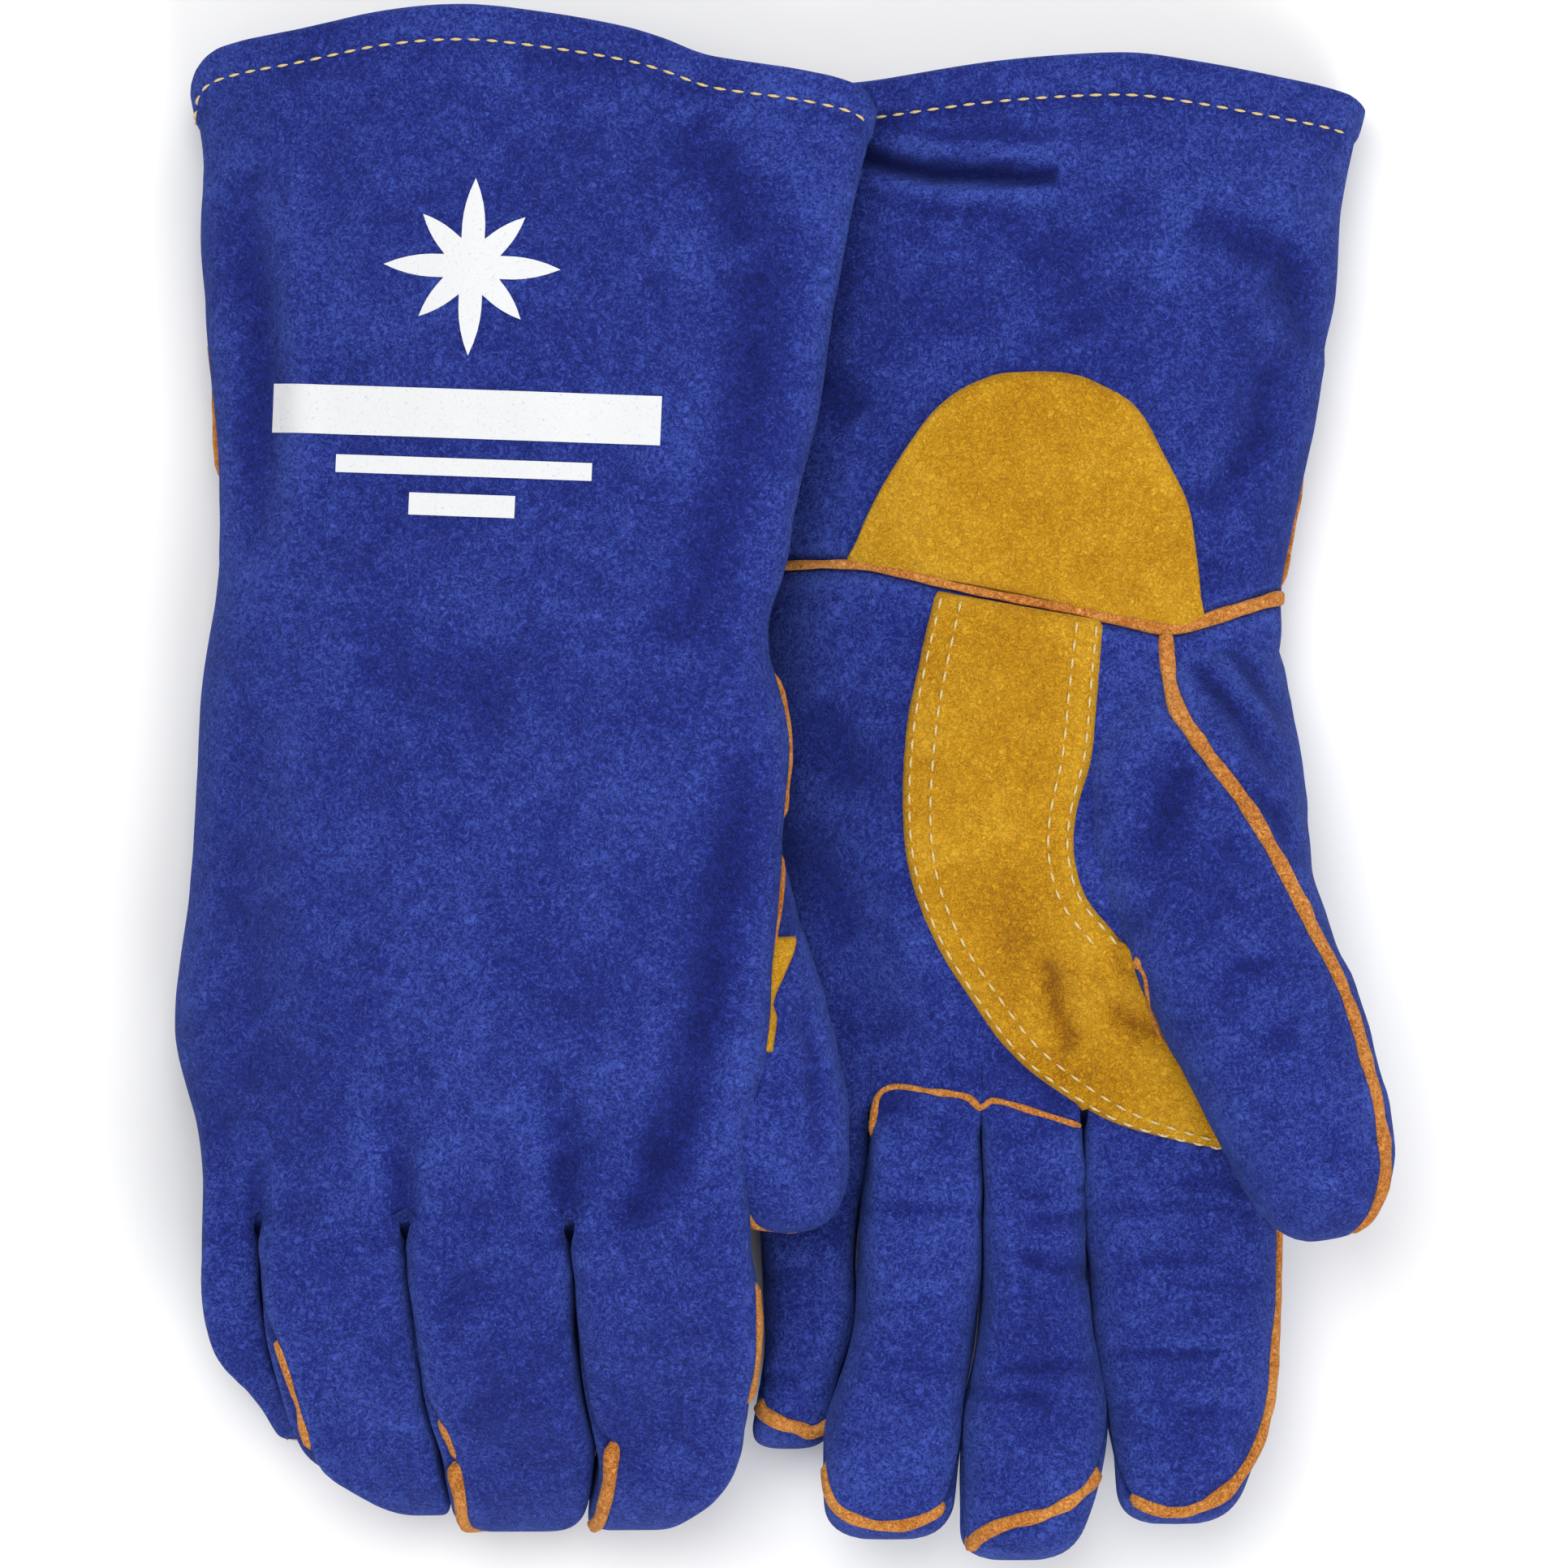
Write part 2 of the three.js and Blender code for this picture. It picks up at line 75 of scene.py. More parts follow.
PAST_SEAM = 9.0  # a distance at which nothing of a seam shows
STITCH_LENGTH, STITCH_GAP, STITCH_THICK, STITCH_SINK = 3.1, 1.0, 0.62, 0.1
STITCH_RISE = np.array([-0.7, 0.15, 0.3, 0.3, 0.15, -0.7])  # its height along it, in thicknesses
ARC_POINTS = 160  # points of a digit's section before it is spaced evenly
MISSED = 20.0  # height given to a dropped point that meets no leather
PATCH_SMOOTHING = 6
PATCH_SINK, PATCH_EDGE = 0.5, 1.3  # how deep a patch's edge is set, and over what width it rises

# ---- Camera, floor and light: the photograph looks straight down ----
VIEW_WIDTH = 353.6  # what the frame takes in at the height VIEW_LEVEL
VIEW_LEVEL = 32.0
VIEW_HEIGHT = 2200.0
VIEW_CENTRE = (1.75, 0.0)


def camera_and_light():
    camera = bpy.data.objects.new("camera", bpy.data.cameras.new("camera"))
    distance = VIEW_HEIGHT - VIEW_LEVEL
    camera.data.sensor_width = 36.0
    camera.data.lens = 36.0 * distance / VIEW_WIDTH
    camera.data.clip_end = 20.0
    camera.location = (VIEW_CENTRE[0] * MM, VIEW_CENTRE[1] * MM, VIEW_HEIGHT * MM)
    bpy.context.scene.collection.objects.link(camera)
    bpy.context.scene.camera = camera

    floor = bpy.data.meshes.new("floor")
    floor.from_pydata([(-4, -4, 0), (4, -4, 0), (4, 4, 0), (-4, 4, 0)], [], [(0, 1, 2, 3)])
    floor = bpy.data.objects.new("floor", floor)
    bpy.context.scene.collection.objects.link(floor)
    pale = bpy.data.materials.new("pale_floor")
    pale.use_nodes = True
    shader = pale.node_tree.nodes["Principled BSDF"]
    shader.inputs["Base Color"].default_value = (0.88, 0.88, 0.88, 1)
    shader.inputs["Roughness"].default_value = 0.8
    floor.data.materials.append(pale)

    for name, place, size, power in (
        ("key", (-0.28, 0.5, 1.65), 1.2, 16.0),
        ("fill", (0.65, -1.15, 1.2), 1.2, 16.5),
        ("rim", (0.3, 1.5, 0.8), 1.0, 6.0),
    ):
        light = bpy.data.lights.new(name, "AREA")
        light.shape = "DISK"
        light.size = size
        light.energy = power
        lamp = bpy.data.objects.new(name, light)
        lamp.location = place
        lamp.rotation_euler = (Vector((0, 0, 0.03)) - Vector(place)).to_track_quat("-Z", "Y").to_euler()
        bpy.context.scene.collection.objects.link(lamp)
    world = bpy.data.worlds.new("studio")
    world.use_nodes = True
    world.node_tree.nodes["Background"].inputs["Color"].default_value = (1, 1, 1, 1)
    world.node_tree.nodes["Background"].inputs["Strength"].default_value = 0.55
    bpy.context.scene.world = world
    bpy.context.scene.view_settings.view_transform = "Standard"


# ---- Materials ----
class Graph:
    """A short way to add and link the nodes of one material."""

    def __init__(self, name):
        self.material = bpy.data.materials.new(name)
        self.material.use_nodes = True
        self.tree = self.material.node_tree
        self.shader = self.tree.nodes["Principled BSDF"]
        self.where = self.add("ShaderNodeTexCoord").outputs["Object"]

    def add(self, kind, inputs=(), **settings):
        node = self.tree.nodes.new(kind)
        for key, value in settings.items():
            setattr(node, key, value)
        for key, value in dict(inputs).items():
            if isinstance(value, bpy.types.NodeSocket):
                self.tree.links.new(value, node.inputs[key])
            else:
                node.inputs[key].default_value = value
        return node

    def noise(self, where, scale, detail=3.0, roughness=0.55, distortion=0.0):
        values = {"Vector": where, "Scale": scale, "Detail": detail, "Roughness": roughness,
                  "Distortion": distortion}
        return self.add("ShaderNodeTexNoise", values, noise_type="FBM")

    def wave(self, scale, distortion, detail, direction):
        values = {"Vector": self.where, "Scale": scale, "Distortion": distortion, "Detail": detail}
        return self.add("ShaderNodeTexWave", values, bands_direction=direction).outputs["Fac"]

    def ramp(self, factor, *stops):
        node = self.add("ShaderNodeValToRGB", {"Fac": factor})
        elements = node.color_ramp.elements
        while len(elements) < len(stops):
            elements.new(0.5)
        for element, (position, colour) in zip(elements, stops):
            element.position = position
            element.color = (*colour, 1)
        return node.outputs["Color"]

    def maths(self, operation, first, second, third=0.0):
        return self.add("ShaderNodeMath", {0: first, 1: second, 2: third}, operation=operation).outputs[0]

    def bump(self, height, strength, distance):
        node = self.add("ShaderNodeBump", {"Height": height, "Strength": strength, "Distance": distance})
        self.tree.links.new(node.outputs["Normal"], self.shader.inputs["Normal"])

    def strand(self, where, scale, thinness):
        """Thin curly lines, 1 along their middle: where a noise passes through its middle value."""
        level = self.noise(where, scale, 1.0, 0.5, 0.6).outputs["Fac"]
        away = self.maths("ABSOLUTE", self.maths("SUBTRACT", level, 0.5), 0.0)
        return self.maths("MAXIMUM", self.maths("MULTIPLY_ADD", away, -thinness, 1.0), 0.0)

    def link(self, output, name):
        self.tree.links.new(output, self.shader.inputs[name])


def suede(name, dark, middle, light, sheen, sheen_colour, strand=0.4, scale=1.0):
    """Napped split leather: short curly fibres over cloudy patches where the nap lies another way.

    Painted shade darkens the colour in creases, folds and along seams, and a painted highlight lightens
    ridges; a point attribute holds both.
    """
    g = Graph(name)
    swirl = g.noise(g.where, 330.0 * scale, 2.0)
    bend = g.add("ShaderNodeVectorMath", {0: swirl.outputs["Color"], "Scale": 0.0032}, operation="SCALE")
    warped = g.add("ShaderNodeVectorMath", {0: g.where, 1: bend.outputs[0]}, operation="ADD").outputs[0]
    strands = g.maths("MAXIMUM", g.strand(warped, 520.0 * scale, 13.0),
                      g.strand(warped, 860.0 * scale, 11.0))
    fluff = g.noise(warped, 1500.0 * scale, 4.0, 0.7, 0.8).outputs["Fac"]
    clouds = g.noise(g.where, 24.0, 4.0, 0.6, 0.5).outputs["Fac"]
    nap = g.noise(g.where, 105.0, 3.0, 0.6, 0.8).outputs["Fac"]
    # painted shade and painted highlight, read from the pieces' point attribute
    painted_shading = g.add("ShaderNodeAttribute", attribute_name="painted_shading").outputs["Fac"]
    value = g.maths("MULTIPLY_ADD", fluff, 1.3, 0.5 - 0.65 - 0.35 * strand)
    value = g.maths("ADD", value, g.maths("MULTIPLY", strands, strand))
    value = g.maths("ADD", value, g.maths("MULTIPLY_ADD", clouds, 0.5, -0.25))
    value = g.maths("ADD", value, g.maths("MULTIPLY_ADD", nap, 0.35, -0.175))
    # painted shade in valleys, folds and along seams, painted highlight on ridges
    value = g.maths("MULTIPLY_ADD", painted_shading, -0.42, value)
    colour = g.ramp(value, (0.1, dark), (0.5, middle), (0.9, light))
    g.link(colour, "Base Color")
    g.shader.inputs["Roughness"].default_value = 0.92
    g.shader.inputs["Specular IOR Level"].default_value = 0.2
    g.shader.inputs["Sheen Weight"].default_value = sheen
    g.shader.inputs["Sheen Roughness"].default_value = 0.35
    g.shader.inputs["Sheen Tint"].default_value = (*sheen_colour, 1)
    g.bump(g.maths("MULTIPLY_ADD", strands, 0.35, fluff), 0.8, 0.0006)
    return g.material


def woven(name, light, dark, threads):
    """Plain-woven canvas: two crossed waves for the threads, with slubs."""
    g = Graph(name)
    weave = g.maths("MULTIPLY", g.wave(threads, 1.2, 2.0, "X"), g.wave(threads, 1.2, 2.0, "Y"))
    slub = g.noise(g.where, 90.0, 4.0).outputs["Fac"]
    g.link(g.ramp(g.maths("MULTIPLY", g.maths("ADD", weave, slub), 0.5), (0.15, dark), (0.7, light)),
           "Base Color")
    g.shader.inputs["Roughness"].default_value = 0.95
    g.bump(weave, 0.6, 0.0004)
    return g.material


def fleece(name, light, dark):
    """Brushed cotton fleece: soft lumps under fine fluff."""
    g = Graph(name)
    lumps = g.noise(g.where, 420.0, 5.0, 0.65, 0.6).outputs["Fac"]
    g.link(g.ramp(lumps, (0.3, dark), (0.65, light)), "Base Color")
    g.shader.inputs["Roughness"].default_value = 1.0
    g.shader.inputs["Sheen Weight"].default_value = 0.4
    g.bump(lumps, 0.8, 0.001)
    return g.material


def thread(name, colour):
    """Spun aramid thread: a twist along each stitch."""
    g = Graph(name)
    twist = g.wave(900.0, 2.0, 1.0, "DIAGONAL")
    dark = tuple(c * 0.62 for c in colour)
    g.link(g.ramp(twist, (0.1, dark), (0.8, colour)), "Base Color")
    g.shader.inputs["Roughness"].default_value = 0.8
    g.shader.inputs["Specular IOR Level"].default_value = 0.15
    g.bump(twist, 0.5, 0.0002)
    return g.material


def ink(name, white, worn):
    """Screen-printed white ink, thin over the fibres."""
    g = Graph(name)
    fibres = g.noise(g.where, 1500.0, 4.0, 0.7, 0.8).outputs["Fac"]
    g.link(g.ramp(fibres, (0.27, worn), (0.4, white)), "Base Color")
    g.shader.inputs["Roughness"].default_value = 0.7
    g.bump(fibres, 0.4, 0.0004)
    return g.material


BLUE = suede("blue_suede", (0.003, 0.007, 0.088), (0.0115, 0.0215, 0.195), (0.052, 0.092, 0.435), 0.20,
             (0.2, 0.38, 1.0), 0.28)
GOLD = suede("gold_suede", (0.24, 0.085, 0.002), (0.575, 0.272, 0.005), (0.82, 0.50, 0.045), 0.10,
             (1.0, 0.8, 0.4), 0.2, 1.4)
TAN = suede("welt_suede", (0.20, 0.045, 0.006), (0.56, 0.19, 0.027), (0.80, 0.38, 0.11), 0.10,
            (1.0, 0.8, 0.6), 0.35, 1.2)
CANVAS = woven("lining_canvas", (0.78, 0.74, 0.62), (0.5, 0.46, 0.36), 330.0)
FLEECE = fleece("lining_fleece", (0.82, 0.79, 0.7), (0.55, 0.52, 0.45))
THREAD = thread("aramid_thread", (0.80, 0.61, 0.28))
INK = ink("printed_ink", (0.68, 0.69, 0.70), (0.28, 0.33, 0.55))


# ---- Curves, sections and noise ----
def curve(*knots):
    """A smooth curve through (position, value) knots, level beyond its ends."""
    xs, ys = np.array(sorted(knots), float).T
    slopes = np.empty_like(ys)
    slopes[1:-1] = (ys[2:] - ys[:-2]) / (xs[2:] - xs[:-2])
    slopes[0] = (ys[1] - ys[0]) / (xs[1] - xs[0])
    slopes[-1] = (ys[-1] - ys[-2]) / (xs[-1] - xs[-2])

    def at(v):
        v = np.clip(v, xs[0], xs[-1])
        i = np.clip(np.searchsorted(xs, v, side="right") - 1, 0, len(xs) - 2)
        span = xs[i + 1] - xs[i]
        u = (v - xs[i]) / span
        p, q, m, n = ys[i], ys[i + 1], slopes[i] * span, slopes[i + 1] * span
        return p + m * u + (3 * (q - p) - 2 * m - n) * u**2 + (2 * (p - q) + m + n) * u**3

    return at


def ease(v, low, high):
    t = np.clip((v - low) / (high - low), 0, 1)
    return t * t * (3 - 2 * t)


def mix(a, b, t):
    return a + (b - a) * t


def bulge(s, n):
    return np.maximum(0, 1 - np.abs(s) ** n) ** (1 / n)


def rounded(v, power):
    """A power of a number that keeps its sign: squares off a circle's sine or cosine."""
    return np.sign(v) * np.abs(v) ** power


def unit(v):
    return v / np.maximum(np.linalg.norm(v, axis=-1, keepdims=True), 1e-9)


def towards(v, axis):
    """A direction or its opposite, whichever points up the axis."""
    return v if v[axis] > 0 else -v


def stretched(values):
    """A smooth curve through values spaced evenly from 0 to 1."""
    return curve(*zip(np.linspace(0, 1, len(values)), values))


def lengths_along(points):
    """How far along a line of points each of them is."""
    return np.concatenate([[0], np.cumsum(np.linalg.norm(np.diff(points, axis=0), axis=1))])


def read_at(places, lengths, points):
    """Points at some places along a line, given how far along it each of its own points is."""
    return np.stack([np.interp(places, lengths, column) for column in points.T], axis=1)


def resample(points, count, stops=None):
    """count + 1 points spaced evenly along a line of points, with some index:position stops held."""
    lengths = lengths_along(points)
    places = np.linspace(0, lengths[-1], count + 1)
    if stops:
        keys = [0] + [index for index, _ in stops] + [count]
        at = [0] + [np.interp(x, points[:, 0], lengths) for _, x in stops] + [lengths[-1]]
        places = np.interp(np.arange(count + 1), keys, at)
    return read_at(places, lengths, points)


def ripples(points, wavelength, seed):
    """Smooth noise from -1 to 1: waves in fixed random directions."""
    rng = np.random.default_rng(RNG_SEED + seed)
    total = np.zeros(points.shape[:-1])
    for _ in range(9):
        direction = unit(rng.normal(size=3))
        length = wavelength * rng.uniform(0.75, 1.5)
        total += np.sin(points @ direction * (2 * math.pi / length) + rng.uniform(0, 2 * math.pi))
    return total / 4.5


def rippled(points, seed, *layers):
    """Ripples of several (height, size) layers, each from the next seed."""
    return sum(height * ripples(points, size, seed + k) for k, (height, size) in enumerate(layers))


def nearest_on(points, line):
    """Distance in plan from points to a line of corners, and how far along it the nearest place is."""
    best, along = np.full(points.shape[:-1], 1e9), np.zeros(points.shape[:-1])
    corners = np.array(line, float)
    lengths = np.linalg.norm(np.diff(corners, axis=0), axis=1)
    before = np.concatenate([[0], np.cumsum(lengths)])
    for a, d, start, length in zip(corners, np.diff(corners, axis=0), before, lengths):
        t = np.clip(((points[..., :2] - a) @ d) / length**2, 0, 1)
        distance = np.linalg.norm(points[..., :2] - (a + t[..., None] * d), axis=-1)
        along = np.where(distance < best, (start + t * length) / before[-1], along)
        best = np.minimum(best, distance)
    return best, along


def folded(points, folds):
    """Depth of folds (line, width, depth): each a valley with soft swells beside it, fading at its ends."""
    total = np.zeros(points.shape[:-1])
    for line, width, depth in folds:
        distance, along = nearest_on(points, line)
        d = distance / width
        fade = np.sqrt(np.clip(4 * along * (1 - along), 0, 1))
        total += depth * fade * (0.3 * np.exp(-((d - 1.7) ** 2) * 1.6) - np.exp(-(d**2)))
    return total


def grid_normals(grid, outward):
    """Unit normals of a (rows, columns, 3) grid; outward is 1 or -1."""
    down = np.gradient(grid, axis=0)
    over = np.gradient(grid, axis=1)
    return unit(np.cross(down, over)) * outward


def hollows(grid, outward):
    """From -1 on a ridge to 1 in a valley, by how far the surface bends within a few points."""
    r = BEND_REACH
    wide = np.pad(grid, ((r, r), (r, r), (0, 0)), mode="reflect", reflect_type="odd")
    around = (wide[:-2 * r, r:-r] + wide[2 * r:, r:-r] + wide[r:-r, :-2 * r] + wide[r:-r, 2 * r:]) / 4
    bend = ((around - grid) * grid_normals(grid, outward)).sum(axis=-1)
    return np.clip(bend / FULL_BEND, -1, 1)


def shade(grid, outward, from_seam=None, folds=()):
    """A point attribute of painted light: painted shade in valleys, folds and along seams, painted highlight
    on ridges.
    """
    bent = hollows(grid, outward)
    value = np.where(bent > 0, bent, 0.3 * bent) + FOLD_SHADE * np.maximum(0, -folded(grid, folds))
    if from_seam is not None:
        value = value + 0.8 * np.exp(-((from_seam / SEAM_SHADE) ** 2))
    return np.clip(value, -0.3, 1.2)


def steps_along(grid, axis):
    """How far along its row or column each point of a grid is."""
    return np.insert(np.cumsum(np.linalg.norm(np.diff(grid, axis=axis), axis=2), axis), 0, 0, axis)


def edge_distance(grid, sides):
    """How far each point is from the nearest of the named sides: top, bottom, left, right."""
    rows, columns = steps_along(grid, 0), steps_along(grid, 1)
    away = {"top": rows, "bottom": rows[-1:] - rows, "left": columns, "right": columns[:, -1:] - columns}
    return np.min([away[side] for side in sides], axis=0)


def seam_roll(distance, radius=4.0, depth=2.4):
    """How far leather turns down into a seam at this distance from it."""
    t = np.clip(1 - distance / radius, 0, 1)
    return -depth * (1 - np.sqrt(np.maximum(0, 1 - t**2)))


# ---- Meshes ----
def mesh_object(name, vertices, faces, material, painted_shading=None):
    name = f"{name}_sewn"
    mesh = bpy.data.meshes.new(name)
    placed = (np.asarray(vertices, float).reshape(-1, 3) - PAIR_CENTRE) * MM
    mesh.from_pydata(placed.tolist(), [], faces)
    mesh.validate()
    mesh.polygons.foreach_set("use_smooth", [True] * len(mesh.polygons))
    # the suede's painted shade and painted highlight, as a point attribute
    if painted_shading is not None:
        mesh.attributes.new("painted_shading", "FLOAT", "POINT").data.foreach_set("value", np.ravel(painted_shading))
    mesh.materials.append(material)
    piece = bpy.data.objects.new(name, mesh)
    bpy.context.scene.collection.objects.link(piece)
    return piece


def grid_faces(rows, columns, wrap=False, flip=False):
    faces = []
    for r in range(rows - 1):
        for c in range(columns if wrap else columns - 1):
            a, b = r * columns + c, r * columns + (c + 1) % columns
            quad = (a, b, b + columns, a + columns)
            faces.append(quad[::-1] if flip else quad)
    return faces


def sheet(grid, flip=False):
    """The points and faces of a (rows, columns, 3) grid."""
    return grid, grid_faces(*grid.shape[:2], flip=flip)


def grid_object(name, grid, material, flip=False, painted_shading=None):
    return mesh_object(name, *sheet(grid, flip), material, painted_shading)


def off_floor(points, floor=LOWEST):
    """The same points, none of them lower than the floor."""
    points[..., 2] = np.maximum(points[..., 2], floor)
    return points


def join(name, parts, material):
    """One object from several (vertices, faces) parts."""
    vertices, faces = [], []
    for points, quads in parts:
        start = sum(len(v) for v in vertices)
        vertices.append(np.asarray(points).reshape(-1, 3))
        faces += [tuple(i + start for i in quad) for quad in quads]
    return mesh_object(name, np.concatenate(vertices), faces, material)


def swept(path, ups, width, height, sides=10, wobble=0.0, seed=0):
    """A strip of rounded section along a path, thin at its ends; ups are the directions its top faces."""
    path, ups = np.asarray(path, float), unit(np.asarray(ups, float))
    forward = unit(np.gradient(path, axis=0))
    side = unit(np.cross(forward, ups))
    up = np.cross(side, forward)
    angles = np.linspace(0, 2 * math.pi, sides, endpoint=False)
    shape = np.stack([rounded(np.cos(angles), 0.6), rounded(np.sin(angles), 0.6)], axis=1)
    count = len(path)
    width, height = (np.broadcast_to(size, count) for size in (width, height))
    ends = np.minimum(np.arange(count), np.arange(count)[::-1])
    grow = np.clip((ends + 0.35) / 2.0, 0.15, 1)
    wander = 1 + wobble * ripples(path, 7.0, seed) if wobble else np.ones(count)
    rings = (path[:, None]
             + side[:, None] * (shape[None, :, :1] * (width / 2 * grow * wander)[:, None, None])
             + up[:, None] * (shape[None, :, 1:] * (height / 2 * grow * wander)[:, None, None]))
    faces = grid_faces(count, sides, wrap=True, flip=True)
    faces += [tuple(range(sides)), tuple(range((count - 1) * sides, count * sides))[::-1]]
    return rings.reshape(-1, 3), faces


def stitches(path, ups):
    """Separate stitches along a path: small rounded bars that dip in at both ends."""
    path, ups = np.asarray(path, float), unit(np.asarray(ups, float))
    lengths = lengths_along(path)
    parts, pitch, rng = [], STITCH_LENGTH + STITCH_GAP, np.random.default_rng(RNG_SEED)
    rise = STITCH_RISE * STITCH_THICK + STITCH_THICK * 0.35 - STITCH_SINK
    for k in range(int(lengths[-1] // pitch)):
        along = np.linspace(k * pitch + rng.uniform(-0.15, 0.15), k * pitch + STITCH_LENGTH, len(rise))
        up = unit(read_at(along, lengths, ups))
        points = read_at(along, lengths, path) + up * rise[:, None]
        parts.append(swept(points, up, STITCH_THICK, STITCH_THICK, 6))
    return parts


def surface_tree(*pieces):
    """The pieces' surfaces, in millimetres, for dropping points on to them."""
    vertices, polygons = [], []
    for piece in pieces:
        start = len(vertices)
        vertices += [Vector(v.co) / MM for v in piece.data.vertices]
        polygons += [tuple(i + start for i in p.vertices) for p in piece.data.polygons]
    return BVHTree.FromPolygons(vertices, polygons)


def dropped(tree, plan, face):
    """Points of the tree's outer surface above or below plan points (x, y), and the normals there."""
    shape = plan.shape[:-1]
    places, normals = [], []
    last = MISSED
    for x, y in plan.reshape(-1, 2) - PAIR_CENTRE[:2]:
        hit, normal, _, _ = tree.ray_cast(Vector((x, y, 200.0 * face)), Vector((0, 0, -face)))
        if hit is None:
            hit, normal = Vector((x, y, last)), Vector((0, 0, face))
        last = hit.z
        places.append(np.array(hit) + PAIR_CENTRE)
        normals.append(np.array(normal if normal.z * face > 0 else -normal))
    return np.array(places).reshape(*shape, 3), np.array(normals).reshape(*shape, 3)


def blurred_line(points, times):
    """Points of a line smoothed over their neighbours, its ends kept."""
    for _ in range(times):
        points = np.concatenate([points[:1], (points[:-2] + 2 * points[1:-1] + points[2:]) / 4,
                                 points[-1:]])
    return points


def blurred(grid, times):
    """A grid smoothed over its neighbours, its border kept."""
    for _ in range(times):
        inner = (grid[:-2, 1:-1] + grid[2:, 1:-1] + grid[1:-1, :-2] + grid[1:-1, 2:]) / 4
        grid = grid.copy()
        grid[1:-1, 1:-1] = mix(grid[1:-1, 1:-1], inner, 0.6)
    return grid


# ---- The gloves' shapes, in the plan of the pair ----
LEFT = dict(
    side="left", up="palm", knuckle=-80.2,
    welt_shows=dict(little_side_welt=[], thumb_side_welt=[(40, 90, 1)]),
    wrist_welt_width=curve((0, 2.0), (60, 2.2), (88, 2.7), (100, 3.2), (115, 3.0)),
    hem=curve((-1, 152), (-0.9, 156.5), (-0.53, 159.2), (-0.17, 162.9), (0.08, 164.5), (0.285, 164.9),
              (0.46, 163.3), (0.71, 160.1), (0.95, 156.4), (1, 154)),
    wrist=curve((-1, 49), (-0.83, 49.6), (-0.6, 49.6), (-0.46, 48.1), (-0.16, 43.6), (0.15, 39.9),
                (0.45, 36.2), (0.6, 35), (0.75, 37.7), (1, 42.3)),
    low=curve((-80, -9), (0, -9), (43, -8), (110, -12), (154, -14)),
    high=curve((-80, 112.3), (-40, 110), (0, 108.5), (20, 110), (35, 112.3), (43, 112.8), (65, 116.4),
               (87, 119.5), (109, 123.5), (131, 126.8), (142, 129), (154, 131.4)),
    top=curve((-80, 35.5), (-50, 40), (-20, 42), (10, 39), (43, 33), (70, 36), (110, 36), (154, 34)),
    under=curve((-80, -1.5), (154, -1.5)),
    edge_low=curve((-80, 11.8), (0, 10), (154, 9)),
    edge_high=curve((-80, 18), (43, 16), (154, 16)),
    lift=curve((-80, 0), (154, 0)),
    crown=(1.6, 2.6),
    folds=dict(
        top=[([(14, 144), (24, 140), (34, 138), (62, 137)], 2.6, 4.2),
             ([(92, 128), (112, 118), (118, 96)], 6, 1.6),
             ([(40, 128), (60, 118), (66, 100)], 9, 1.2), ([(96, 60), (106, 78), (110, 100)], 5, 1.2),
             ([(4, -8), (14, -34), (18, -60)], 8, 1.2), ([(8, 20), (14, -2)], 7, 1.0),
             ([(3, 98), (16, 82)], 6, 1.4), ([(28, 112), (50, 104)], 8, 0.8),
             ([(44, -14), (54, -38), (62, -56), (74, -76)], 13, 1.9),
             ([(60, -38), (61, -48), (66, -60)], 3.2, 1.3),
             ([(72, -49), (80, -54), (92, -58)], 4.5, 2.0)],
        bottom=[([(20, 60), (90, 30)], 10, 1.0)],
    ),
    fingers=dict(
        little=dict(z=[11.8, 12, 14.5, 18, 21], h=[10.8, 11, 11, 10.6, 10], tip=-150.5,
                    plan=[(-80.2, -9, 19.4), (-100, -5.6, 17.2), (-123, -4.4, 16.2), (-138, -6.6, 12.6),
                          (-150, -8, 10)]),
        ring=dict(z=[17, 17.5, 20, 25, 30], h=[15.5, 15.8, 15.8, 15, 13.8], tip=-170.5,
                  plan=[(-80.2, 19.4, 44.6), (-100, 17.2, 45), (-123, 16.2, 44), (-145, 9.4, 40.6),
                        (-170, 9.5, 37.5)]),
        middle=dict(z=[18.5, 19, 21.5, 26, 32], h=[16.5, 16.3, 16.2, 15.4, 14], tip=-175,
                    plan=[(-80.2, 44.6, 67.6), (-100, 45, 68.4), (-123, 44, 69.8), (-147, 40.4, 73.6),
                          (-174, 38.8, 66)]),
        index=dict(z=[18, 18.5, 20.5, 24, 28], h=[16.5, 16.2, 15.8, 14.8, 13.6], tip=-167.2,
                   plan=[(-80.2, 67.6, 112.3), (-100, 68.4, 112), (-123, 69.8, 111.4), (-144, 73.4, 109.8),
                         (-167, 75.5, 101)]),
    ),
)
